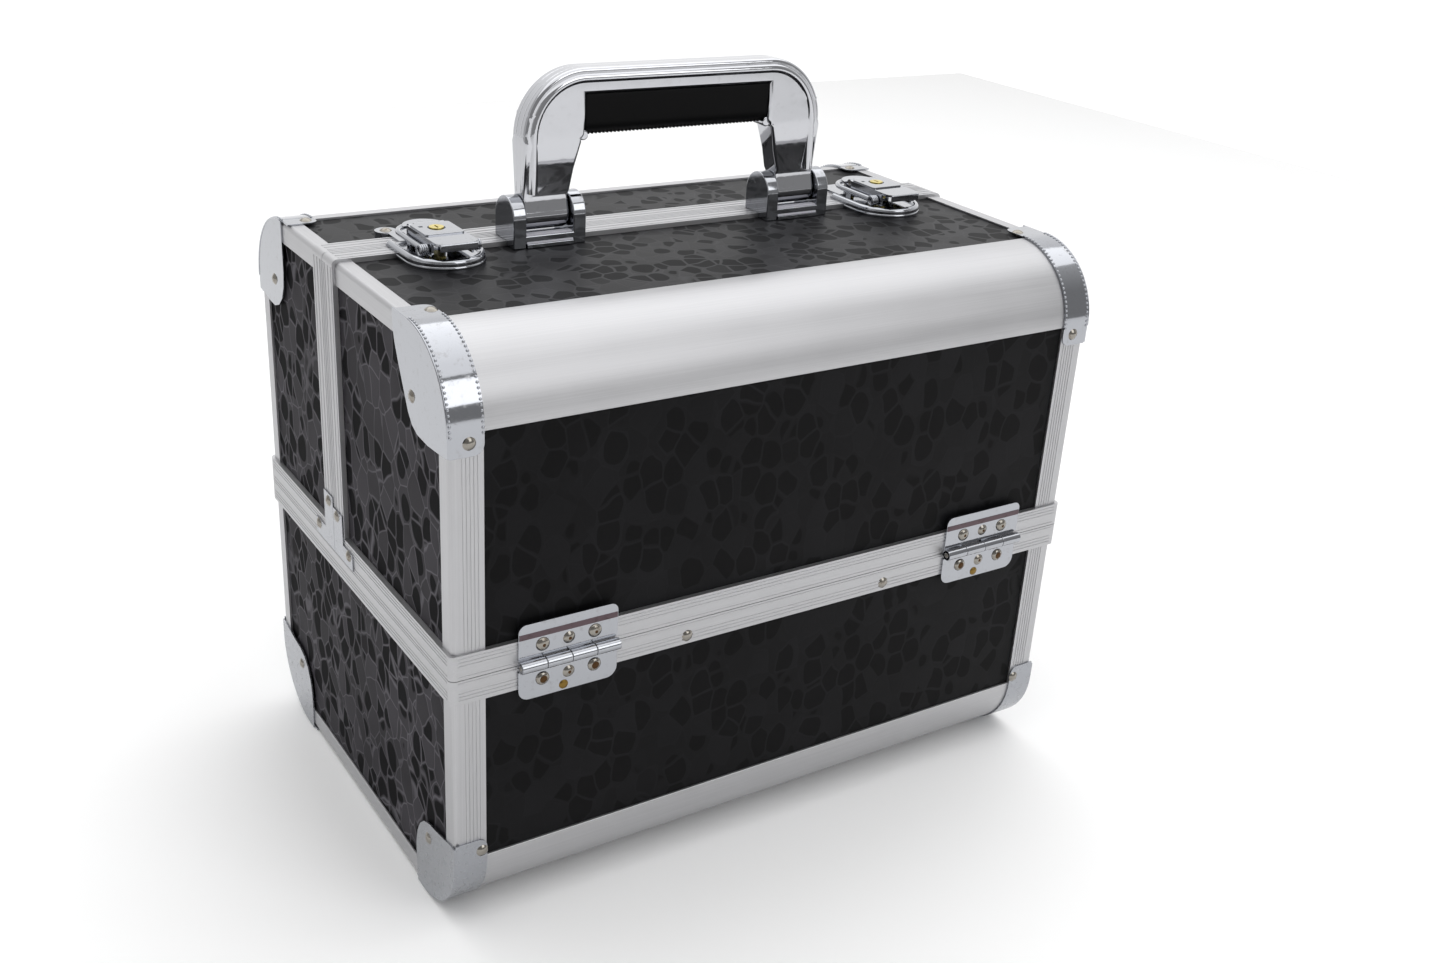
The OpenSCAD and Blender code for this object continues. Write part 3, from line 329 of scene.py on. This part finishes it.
def wire(start, heading, radius, steps, sides=12, cap=True):
    """A round wire from start along heading. Each step is a straight run (dx, dy, dz) or a turn
    (centre, axis, degrees, pieces), all in millimetres."""
    bpy.ops.object.select_all(action="DESELECT")
    turn = Vector((0, 0, 1)).rotation_difference(Vector(heading)).to_euler()
    bpy.ops.mesh.primitive_circle_add(vertices=sides, radius=radius * MM,
                                      location=Vector(start) * MM, rotation=turn)
    piece = bpy.context.active_object
    alone(piece)
    bpy.ops.object.transform_apply(location=True, rotation=True, scale=True)
    edit(piece)
    for step in steps:
        if len(step) == 3:
            bpy.ops.mesh.extrude_region_move(TRANSFORM_OT_translate={"value": Vector(step) * MM})
        else:
            centre, axis, degrees, pieces = step
            # spin counts its angle the other way round its axis
            bpy.ops.mesh.spin(steps=pieces, angle=-math.radians(degrees),
                              center=Vector(centre) * MM, axis=axis)
    bpy.ops.mesh.select_all(action="SELECT")
    bpy.ops.mesh.remove_doubles(threshold=1e-6)
    if cap:
        bpy.ops.mesh.select_all(action="DESELECT")
        bpy.ops.mesh.select_mode(type="EDGE")
        bpy.ops.mesh.select_non_manifold()
        bpy.ops.mesh.edge_face_add()
    bpy.ops.mesh.select_all(action="SELECT")
    bpy.ops.mesh.normals_make_consistent(inside=False)
    bpy.ops.object.mode_set(mode="OBJECT")
    alone(piece)
    bpy.ops.object.shade_smooth_by_angle(angle=math.radians(40))
    return piece


def joined(name, parts, finish, body, width=0):
    """Several bars or wires made one named piece."""
    alone(parts[0])
    for part in parts:
        part.select_set(True)
    bpy.ops.object.join()
    piece = bpy.context.active_object
    piece.name = name
    if width:
        soften(piece, width)
    settle(piece, finish, body)


def pierce(piece, drill):
    """Cuts the drill's shape out of the piece."""
    alone(piece)
    cut = piece.modifiers.new("hole", "BOOLEAN")
    cut.object = drill
    cut.operation = "DIFFERENCE"
    bpy.ops.object.modifier_apply(modifier=cut.name)
    bpy.data.objects.remove(drill)


def dome(centre, way, radius, height):
    """A rivet's domed head on a seat at centre, facing way, in millimetres."""
    bpy.ops.object.select_all(action="DESELECT")
    turn = Vector((0, 0, 1)).rotation_difference(Vector(way)).to_euler()
    bpy.ops.mesh.primitive_uv_sphere_add(segments=28, ring_count=14, radius=radius * MM)
    head = bpy.context.active_object
    edit(head)
    bpy.ops.mesh.bisect(plane_co=(0, 0, 0), plane_no=(0, 0, 1), clear_inner=True, use_fill=True)
    bpy.ops.object.mode_set(mode="OBJECT")
    head.scale = (1, 1, height / radius)
    head.rotation_euler = turn
    head.location = Vector(centre) * MM
    alone(head)
    bpy.ops.object.transform_apply(location=True, rotation=True, scale=True)
    bpy.ops.object.shade_smooth_by_angle(angle=math.radians(50))
    return head


def mirrored(piece):
    """A copy of the piece on the other side of x = 0."""
    alone(piece)
    bpy.ops.object.duplicate()
    twin = bpy.context.active_object
    bpy.ops.transform.mirror(constraint_axis=(True, False, False), center_override=(0, 0, 0))
    bpy.ops.object.transform_apply(location=True, rotation=True, scale=True)
    edit(twin)
    bpy.ops.mesh.normals_make_consistent(inside=False)
    bpy.ops.object.mode_set(mode="OBJECT")
    return twin


# ------------------------------------------------------------------ boards and profiles

def board(part, finish, axis):
    """A board in laminate, with black felt glued to the side that faces into the case. axis is the
    one that the board's thickness runs along."""
    piece = dress(part, finish, 0.25)
    piece.data.materials.append(lining_black)
    middle = Vector((0, 0, 150)) * MM
    for face in piece.data.polygons:
        if abs(face.normal[axis]) > 0.9 and face.normal[axis] * (face.center - middle)[axis] < 0:
            face.material_index = 1


for part in ("base_front_panel", "base_rear_panel", "front_lid_front_panel", "rear_lid_rear_panel"):
    board(part, laminate_painted_darker_front, 1)
for part in ("base_end_panels", "front_lid_end_panels", "rear_lid_end_panels"):
    board(part, laminate_painted_lighter_end, 0)
for part in ("front_lid_top_panel", "rear_lid_top_panel", "base_bottom_panel"):
    board(part, laminate_painted_mid_top, 2)
dress("base_lining", lining_black, 0.3)

for part in ("base_rim", "front_lid_rim", "rear_lid_rim", "front_lid_seam_rim", "rear_lid_seam_rim",
             "base_edge_bars", "front_lid_edge_bar", "rear_lid_edge_bar"):
    dress(part, aluminium[0], 0.35)
for part in ("base_end_angles", "front_lid_top_angles", "rear_lid_top_angles"):
    dress(part, aluminium[1], 0.3)
for part in ("base_corner_posts", "front_lid_corner_posts", "rear_lid_corner_posts"):
    dress(part, aluminium[2], 0.3)

rim_x, rim_y = box_mm("base_rim")[1][:2]
# ribs of the extrusions, in millimetres: how proud they stand, their width, the rounding of their
# edges, and how far short of a corner they stop
PROUD = 0.25
RIB = 0.7
RIB_EDGE = 0.12
CORNER = 4


def ribs_round(part, heights):
    """Ribs along the front or rear and the ends of a rim, at heights above its lower face."""
    low, high = box_mm(part)
    has_front, has_rear = low[1] < -rim_y + 1, high[1] > rim_y - 1
    bars = []
    for height in heights:
        z0, z1 = low[2] + height, low[2] + height + RIB
        left, right = low[0] + CORNER, high[0] - CORNER
        y0, y1 = low[1] + 0.4, high[1] - 0.4
        if has_front:
            bars.append(block((left, low[1] - PROUD, z0), (right, low[1] + 1, z1), RIB_EDGE))
            y0 = low[1] + CORNER
        if has_rear:
            bars.append(block((left, high[1] - 1, z0), (right, high[1] + PROUD, z1), RIB_EDGE))
            y1 = high[1] - CORNER
        for side in (-1, 1):
            x = side * rim_x
            bars.append(block((min(x - side, x + side * PROUD), y0, z0),
                              (max(x - side, x + side * PROUD), y1, z1), RIB_EDGE))
    return bars


def seam_ribs(part, places):
    """Ribs over the top and down the ends of a seam rim, at distances from its front face."""
    low, high = box_mm(part)
    bars = []
    for place in places:
        y0, y1 = low[1] + place, low[1] + place + RIB
        bars.append(block((low[0] + CORNER, y0, high[2] - 1),
                          (high[0] - CORNER, y1, high[2] + PROUD), RIB_EDGE))
        for side in (-1, 1):
            x = side * rim_x
            bars.append(block((min(x - side, x + side * PROUD), y0, low[2] + 0.4),
                              (max(x - side, x + side * PROUD), y1, high[2] - CORNER), RIB_EDGE))
    return bars


def post_ribs(part, front):
    """Ribs up the front or rear face of the corner posts."""
    low, high = box_mm(part)
    face = low[1] if front else high[1]
    out = -1 if front else 1
    bars = []
    for side in (-1, 1):
        for inset in (6.2, 8.0, 9.8, 11.6, 13.4):
            x = side * (high[0] - inset)
            bars.append(block((x - RIB / 2, min(face - out, face + out * PROUD), low[2] + 0.3),
                              (x + RIB / 2, max(face - out, face + out * PROUD), high[2] - 0.3),
                              RIB_EDGE))
    return bars


for body, kind, bars, finish in (
        ("base", "rim", ribs_round("base_rim", (1.6, 3.4, 5.2, 10.4)), aluminium[0]),
        ("front_lid", "rim", ribs_round("front_lid_rim", (1.0, 6.6, 8.4, 10.2)), aluminium[0]),
        ("rear_lid", "rim", ribs_round("rear_lid_rim", (1.0, 6.6, 8.4, 10.2)), aluminium[0]),
        ("front_lid", "seam", seam_ribs("front_lid_seam_rim", (1.6, 5.6, 9.4, 11.6)), aluminium[0]),
        ("rear_lid", "seam", seam_ribs("rear_lid_seam_rim", (0.7, 2.9, 6.7, 10.7)), aluminium[0]),
        ("base", "post",
         post_ribs("base_corner_posts", True) + post_ribs("base_corner_posts", False), aluminium[2]),
        ("front_lid", "post", post_ribs("front_lid_corner_posts", True), aluminium[2]),
        ("rear_lid", "post", post_ribs("rear_lid_corner_posts", False), aluminium[2])):
    joined(body + "_" + kind + "_ribs", bars, finish, body)

# ------------------------------------------------------------------ corner caps

# sheet thickness and band width of a cap, and the round of the case that it wraps, in millimetres
CAP_SHEET = 0.9
CAP_BAND = 16
ROUND = 38.5
ROUND_Y, ROUND_Z = 82.5, 257
cap_low, cap_high = box_mm("front_lid_corner_caps")
cap_x, cap_y = cap_high[0] - CAP_SHEET - CAP_BAND, -cap_low[1]
cap_top = ROUND_Z + ROUND + CAP_SHEET


def tab_corner(a, b):
    """The free corners of the tabs round their rivets, on the front, the rear and the top."""
    same_x = abs(a[0] - b[0]) < 0.02 and abs(abs(a[0]) - cap_x) < 0.3
    upright = same_x and abs(a[2] - b[2]) < 0.02 and abs(abs(a[1] + b[1]) / 2 - cap_y) < 1.2
    level = same_x and abs(a[1] - b[1]) < 0.02 and (a[2] + b[2]) / 2 > cap_high[2] - 1.2
    return (upright and abs(abs(a[1] - b[1]) - CAP_SHEET) < 0.1
            or level and abs(abs(a[2] - b[2]) - CAP_SHEET) < 0.1)


dress("base_corner_caps", satin_pressed, 0.3, corners=tab_corner, radius=4.5)
dress("front_lid_corner_caps", pressed, 0.3, corners=tab_corner, radius=5)
dress("rear_lid_corner_caps", pressed, 0.3, corners=tab_corner, radius=4)


def cap_beading(name, rear, body):
    """Beads pressed along both edges of a cap's curved band, and the rolled seam of its end plate."""
    way = 1 if rear else -1
    centre = Vector((0, way * ROUND_Y, ROUND_Z))
    quarter = {"angle": -math.radians(90), "axis": (-way, 0, 0), "center": centre * MM}
    # the smooth outer face of the band
    band = block((-182.0, centre[1] - 0.01, cap_top - 0.5), (-165.4, centre[1] + 0.01, cap_top + 0.08), 0)
    edit(band, "DESELECT")
    bpy.ops.mesh.select_mode(type="FACE")
    bpy.ops.object.mode_set(mode="OBJECT")
    for face in band.data.polygons:
        face.select = face.normal[1] * way > 0.9
    bpy.ops.object.mode_set(mode="EDIT")
    bpy.ops.mesh.spin(steps=40, **quarter)
    bpy.ops.mesh.select_all(action="SELECT")
    bpy.ops.mesh.normals_make_consistent(inside=False)
    bpy.ops.object.mode_set(mode="OBJECT")
    bpy.ops.object.shade_smooth_by_angle(angle=math.radians(30))
    parts = [band]
    for x in (-181.2, -166.2):
        bpy.ops.object.select_all(action="DESELECT")
        bpy.ops.mesh.primitive_ico_sphere_add(subdivisions=2, radius=0.75 * MM,
                                              location=(x * MM, centre[1] * MM, cap_top * MM))
        bead = bpy.context.active_object
        alone(bead)
        bpy.ops.object.transform_apply(location=True, rotation=True, scale=True)
        edit(bead)
        bpy.ops.mesh.spin(steps=26, dupli=True, **quarter)
        bpy.ops.object.mode_set(mode="OBJECT")
        alone(bead)
        bpy.ops.object.shade_smooth()
        parts.append(bead)
    parts.append(wire((-182.2, centre[1], cap_top - 0.1), (0, way, 0), 0.55,
                      [(centre, (-way, 0, 0), 90, 24)], sides=10))
    for part in parts[:]:
        parts.append(mirrored(part))
    joined(name, parts, pressed, body)


cap_beading("front_lid_cap_beading", False, "front_lid")
cap_beading("rear_lid_cap_beading", True, "rear_lid")

dress("front_lid_seam_plates", satin_pressed, 0.25)
dress("rear_lid_seam_plates", satin_pressed, 0.25)
for part in ("base_rivets", "front_lid_rivets", "rear_lid_rivets"):
    dress(part, rivet_metal, 0)

# ------------------------------------------------------------------ hinges

# distance of a hinge from the middle, its width, the length of one of its four knuckles and the
# clearance between two of them, in millimetres
HINGE_X = 125
HINGE_WIDTH = 51
KNUCKLE = HINGE_WIDTH / 4
CLEARANCE = 0.3
pin_y, pin_z = pivot_mm("rear_lid_hinge")[1:]


def leaf_corner(a, b):
    """The four outer corners of each leaf: short edges along Y, far from the pin."""
    along_y = abs(a[0] - b[0]) < 0.01 and abs(a[2] - b[2]) < 0.01 and abs(a[1] - b[1]) > 0.9
    outer = abs(abs(abs(a[0]) - HINGE_X) - HINGE_WIDTH / 2) < 0.1
    return along_y and outer and abs(a[2] - pin_z) > 15


dress("base_hinge_leaves", pressed, 0.25, corners=leaf_corner, radius=5.5)
dress("front_lid_hinge_leaves", pressed, 0.25, corners=leaf_corner, radius=3.8)
dress("rear_lid_hinge_leaves", pressed, 0.25, corners=leaf_corner, radius=3.8)
dress("hinge_pins", rivet_metal, 0.3)


def hinge_creases(name, rear, body):
    """The crease where a leaf steps back from the rim to the board, with a thin dark strip laid in it."""
    way = 1 if rear else -1
    inner, outer = sorted((way * (rim_y + 0.6), way * (rim_y + 1.45)))
    half = HINGE_WIDTH / 2 - 0.3
    bars = [block((x - half, inner, pin_z + 13.2), (x + half, outer, pin_z + 16), 0.12)
            for x in (-HINGE_X, HINGE_X)]
    joined(name, bars, creased, body)


def knuckles(name, rear, body, picks):
    """Rolled knuckles round the pin, their edges softened."""
    y = pin_y if rear else -pin_y
    rolls = []
    for hinge in (-HINGE_X, HINGE_X):
        for pick in picks:
            x = hinge - HINGE_WIDTH / 2 + pick * KNUCKLE + CLEARANCE / 2
            rolls.append(wire((x, y, pin_z), (1, 0, 0), 2.86, [(KNUCKLE - CLEARANCE, 0, 0)], sides=36))
    joined(name, rolls, pressed, body, width=0.25)


hinge_creases("front_lid_hinge_creases", False, "front_lid")
hinge_creases("rear_lid_hinge_creases", True, "rear_lid")
knuckles("front_lid_knuckles", False, "front_lid", (0, 2))
knuckles("rear_lid_knuckles", True, "rear_lid", (0, 2))
knuckles("base_knuckles_front", False, "base", (1, 3))
knuckles("base_knuckles_rear", True, "base", (1, 3))


def hinge_heads(name, rear, body, up):
    """Large flat heads over the leaf's outer rivets, each with a rusted core, and a brass one below."""
    way = 1 if rear else -1
    seat = way * (rim_y + 1.1)
    out = (0, way, 0)
    z = pin_z + 9 if up else pin_z - 9
    heads, cores, brassy = [], [], []
    for hinge in (-HINGE_X, HINGE_X):
        for x in (hinge - 13.4, hinge + 13.4):
            heads.append(dome((x, seat, z), out, 3.5, 1.75))
            cores.append(dome((x, seat + way * 1.1, z), out, 1.5 if up else 2.2, 0.72))
        cores.append(dome((hinge, seat + way * 0.6, z), out, 1.6, 0.85))
        if not up:
            brassy.append(dome((hinge - 2.5, seat, pin_z - 15.4), out, 2.4, 0.95))
    joined(name, heads, rivet_metal, body)
    joined(name + "_cores", cores, rust, body)
    if brassy:
        joined(name + "_brass", brassy, aged_brass, body)


hinge_heads("front_lid_hinge_heads", False, "front_lid", True)
hinge_heads("rear_lid_hinge_heads", True, "rear_lid", True)
hinge_heads("base_hinge_heads_front", False, "base", False)
hinge_heads("base_hinge_heads_rear", True, "base", False)

# ------------------------------------------------------------------ handle

handle_low, handle_high = box_mm("handle_frame")
grip_low, grip_high = box_mm("handle_grip")
pivot_y = (handle_low[1] + handle_high[1]) / 2
frame_piece = dress("handle_frame", plated_handle, 1.8, 4)
# the legs swell towards the middle of their height, front and rear, and draw in at the foot
shifts = ((318, 1.9), (331, 0.5), (344, -1.0), (358, -0.6))  # height and shift, in millimetres
for z, _ in shifts:
    edit(frame_piece)
    bpy.ops.mesh.bisect(plane_co=(0, 0, z * MM), plane_no=(0, 0, 1))
bpy.ops.object.mode_set(mode="OBJECT")
for z, shift in shifts:
    for y, out in ((handle_low[1], 1), (handle_high[1], -1)):
        edit(frame_piece, "DESELECT")
        bpy.ops.object.mode_set(mode="OBJECT")
        for point in frame_piece.data.vertices:
            point.select = abs(point.co.z / MM - z) < 0.05 and abs(point.co.y / MM - y) < 3.5
        bpy.ops.object.mode_set(mode="EDIT")
        bpy.ops.transform.translate(value=(0, out * shift * MM, 0))
        bpy.ops.object.mode_set(mode="OBJECT")
soften(frame_piece, 0)
dress("handle_grip", grip_black, 1.2, 3)
dress("handle_brackets", pressed, 0.6, 3)
dress("handle_pins", rivet_metal, 0.3)

front_face, rear_face = handle_low[1] + 0.4, handle_high[1] - 0.4
BEAD_FOOT = handle_low[2] + 19
CORNER_RADIUS = 33


def handle_bead(y, inset, radius):
    """A round bead that follows the handle's outer edge at a distance of inset."""
    x, top, corner = handle_high[0] - inset, handle_high[2] - inset, CORNER_RADIUS - inset
    rise = top - corner - BEAD_FOOT
    return wire((-x, y, BEAD_FOOT), (0, 0, 1), radius, [
        (0, 0, rise),
        ((corner - x, y, top - corner), (0, 1, 0), 90, 18),
        (2 * (x - corner), 0, 0),
        ((x - corner, y, top - corner), (0, 1, 0), 90, 18),
        (0, 0, -rise)], sides=16)


joined("handle_beads", [handle_bead(front_face + 1.2, 5.0, 2.5), handle_bead(front_face + 4.6, 2.0, 2.1),
                        handle_bead(rear_face - 1.2, 5.0, 2.5), handle_bead(rear_face - 4.6, 2.0, 2.1)],
       plated_handle, "handle")

# small moulded stops at the inner corners of the handle, beside the ends of the grip
stops = []
for side in (-1, 1):
    bpy.ops.object.select_all(action="DESELECT")
    bpy.ops.mesh.primitive_cylinder_add(vertices=24, radius=2.6 * MM, depth=11 * MM,
                                        location=(side * 54.2 * MM, pivot_y * MM, (grip_low[2] - 0.2) * MM),
                                        rotation=(math.radians(90), 0, 0))
    stops.append(bpy.context.active_object)
joined("handle_stops", stops, plated_handle, "handle", width=0.8)

# crossbar and pale packing between the cheeks of each bracket
BRACKET_X = 74.5
CHEEK_GAP = 25.4
CROSSBAR_TOP = 296.6
bracket_low = box_mm("handle_brackets")[0]
for name, foot, top, proud, finish, lean in (
        ("bracket_crossbars", bracket_low[2] + 0.3, CROSSBAR_TOP, 0.8, pressed, 0),
        ("bracket_packings", CROSSBAR_TOP, 301.2, 0.3, packing_grey, 1.4)):
    bars = []
    for x in (-BRACKET_X, BRACKET_X):
        front = bracket_low[1]
        bar = block((x - CHEEK_GAP / 2, front - proud, foot), (x + CHEEK_GAP / 2, front + 4.6, top), 0.2)
        if lean:
            # the top of the packing's face leans back, so it catches the light
            edit(bar, "DESELECT")
            bpy.ops.object.mode_set(mode="OBJECT")
            for point in bar.data.vertices:
                point.select = point.co.z / MM > top - 1 and point.co.y / MM < front + 0.6
            bpy.ops.object.mode_set(mode="EDIT")
            bpy.ops.transform.translate(value=(0, lean * MM, 0))
            bpy.ops.object.mode_set(mode="OBJECT")
        bars.append(bar)
    joined(name, bars, finish, "front_lid")

# fifty teeth left by the mould along the grip's lower edge, 2.14 mm apart
tooth = block((grip_low[0] + 1.0, pivot_y - 3.2, grip_low[2] - 0.35),
              (grip_low[0] + 2.1, pivot_y + 3.2, grip_low[2] + 1.2), 0.3)
alone(tooth)
row = tooth.modifiers.new("row", "ARRAY")
row.count = 50
row.use_relative_offset = False
row.use_constant_offset = True
row.constant_offset_displace = (2.14 * MM, 0, 0)
bpy.ops.object.modifier_apply(modifier=row.name)
joined("handle_grip_teeth", [tooth], grip_black, "handle")

# ------------------------------------------------------------------ latches

def lever_corner(a, b):
    """The two upright corners at the lever's front."""
    return abs(a[0] - b[0]) < 0.02 and abs(a[1] - b[1]) < 0.02 and a[1] < -22 and abs(a[2] - b[2]) > 0.5


def bail_coils(pivot):
    """Coiled ends of the bail, wound round its own pivot on both sides of the lever."""
    x, y, z = pivot
    turns = []
    for way in (-1, 1):
        for turn in range(4):
            place = x + way * (11.7 + 1.05 * turn)
            turns.append(wire((place, y + 2.2, z), (0, 0, 1), 0.62,
                              [((place, y, z), (1, 0, 0), 360, 24)], sides=10, cap=False))
    return turns


seam_top = box_mm("front_lid_seam_rim")[1][2]
for name in ("left", "right"):
    x, plug_y = pivot_mm(name + "_lock_turn")[:2]
    base_part, lever_part = name + "_latch_base", name + "_latch_lever"
    dress(base_part, pressed, 0.35)
    dress(lever_part, pressed, 0.25, corners=lever_corner, radius=4.5)
    dress(name + "_latch_bail", pressed, 0)
    dress(name + "_lock_cylinder", brass, 0.15)
    plate_top = seam_top + 1.2
    foot = box_mm(base_part)[0][2]
    # rolled rim of the base plate, and the flange below it
    rolls = []
    for reach, z, radius in ((17.6, plate_top - 0.2, 1.9), (18.6, foot + 1.5, 1.3)):
        rolls.append(wire((x - reach, 18.5, z), (0, -1, 0), radius, [
            (0, -23, 0), ((x, -4.5, z), (0, 0, 1), 180, 28), (0, 23, 0)]))
    joined(name + "_latch_rim", rolls, pressed, "front_lid")
    z1 = box_mm(lever_part)[1][2]
    # raised cover round the lock plug, with a small square hole beside it
    cover = block((x - 10.0, -6.8, z1 - 0.4), (x + 10.0, 13.2, z1 + 0.7), 0)
    edges_where(cover, lambda a, b: abs(a[2] - b[2]) > 0.5)
    bpy.ops.mesh.bevel(offset=1.6 * MM, segments=5, affect="EDGES")
    bpy.ops.object.mode_set(mode="OBJECT")
    bpy.ops.object.select_all(action="DESELECT")
    bpy.ops.mesh.primitive_cylinder_add(vertices=36, radius=4.3 * MM, depth=0.02,
                                        location=(x * MM, plug_y * MM, z1 * MM))
    pierce(cover, bpy.context.active_object)
    pierce(cover, block((x - 7.6, 6.4, z1 - 2), (x - 5.6, 8.6, z1 + 3), 0))
    lip = block((x - 9.4, -23.0, z1 - 3.6), (x + 9.4, -21.6, z1 - 0.1), 0.5, 3)
    joined(name + "_lever_cover", [cover, lip], pressed, name + "_lever", width=0.18)
    joined(name + "_bail_coils", bail_coils(pivot_mm(name + "_bail_pivot")), pressed,
           name + "_bail")
dress("latch_lever_pins", rivet_metal, 0.2)
dress("latch_keepers", pressed, 0.3)

# ------------------------------------------------------------------ inside

for part in ("front_lower_tray", "front_upper_tray", "rear_lower_tray", "rear_upper_tray"):
    dress(part, tray_black, 0.5)
for part in ("front_tray_arms", "rear_tray_arms"):
    dress(part, satin_pressed, 0.3)
for part in ("arm_pivots", "front_tray_pivots", "rear_tray_pivots"):
    dress(part, rivet_metal, 0.3)

# ------------------------------------------------------------------ studio

bpy.ops.object.select_all(action="DESELECT")
bpy.ops.mesh.primitive_plane_add(size=4.4, location=(-0.5, -0.5, -0.0004))
floor = bpy.context.active_object
floor.name = "floor"
paper, tree, place = new_finish("pale_paper")
tooth = add(tree, "TexNoise", {"Vector": place, "Scale": 1 / 0.002}).outputs["Fac"]
surface(tree, Base_Color=linear("fafafa"), Roughness=add(
    tree, "MapRange", {"Value": tooth, "To Min": 0.8, "To Max": 0.95}).outputs[0])
floor.data.materials.append(paper)


def soft_light(name, place, aim, size, power):
    """A square soft box that faces the point aim. Sizes are in metres and the power in watts."""
    lamp = bpy.data.lights.new(name, "AREA")
    lamp.size = size
    lamp.energy = power
    light = bpy.data.objects.new(name, lamp)
    bpy.context.scene.collection.objects.link(light)
    way = Vector(place) - Vector(aim)
    light.matrix_world = Matrix.Translation(place) @ way.to_track_quat("Z", "Y").to_matrix().to_4x4()


soft_light("overhead", (0.1, 0.1, 2.3), (0, 0, 0.2), 3.8, 56)
soft_light("left", (-2.2, 0.2, 0.9), (0, 0, 0.15), 2.2, 4)
soft_light("front", (0.9, -2.2, 1.5), (0, 0, 0.15), 1.4, 14)

# a white backdrop behind the case, and a dim room in front of it for the plating to mirror
world = bpy.data.worlds.new("studio")
bpy.context.scene.world = world
world.use_nodes = True
sky = world.node_tree
way = add(sky, "TexCoord").outputs["Generated"]
facing = add(sky, "VectorMath", {0: way, 1: (0.562, 0.827, 0.0)}, operation="DOT_PRODUCT").outputs["Value"]
backdrop = add(sky, "MapRange", {"Value": facing, "From Min": -0.1, "From Max": 0.75,
                                 "To Min": 0.34, "To Max": 1.2}).outputs[0]
sky.links.new(backdrop, sky.nodes["Background"].inputs["Strength"])
sky.nodes["Background"].inputs["Color"].default_value = linear("ffffff")

# the camera stands before the case's left front corner, looks down on it and leans a little
camera = bpy.data.objects.new("camera", bpy.data.cameras.new("camera"))
bpy.context.scene.collection.objects.link(camera)
camera.data.sensor_width = 36
camera.data.lens = 38.72
back = Vector((-0.5116, -0.7529, 0.4139)).normalized()
level = Vector((0.8271, -0.5620, 0)).normalized()
up = back.cross(level)
roll = math.radians(3.622)
across = math.cos(roll) * level + math.sin(roll) * up
upward = back.cross(across)
turned = Matrix((across, upward, back)).transposed().to_4x4()
camera.matrix_world = Matrix.Translation((-0.4166, -0.6692, 0.5114)) @ turned
bpy.context.scene.camera = camera
bpy.context.scene.view_settings.view_transform = "Standard"
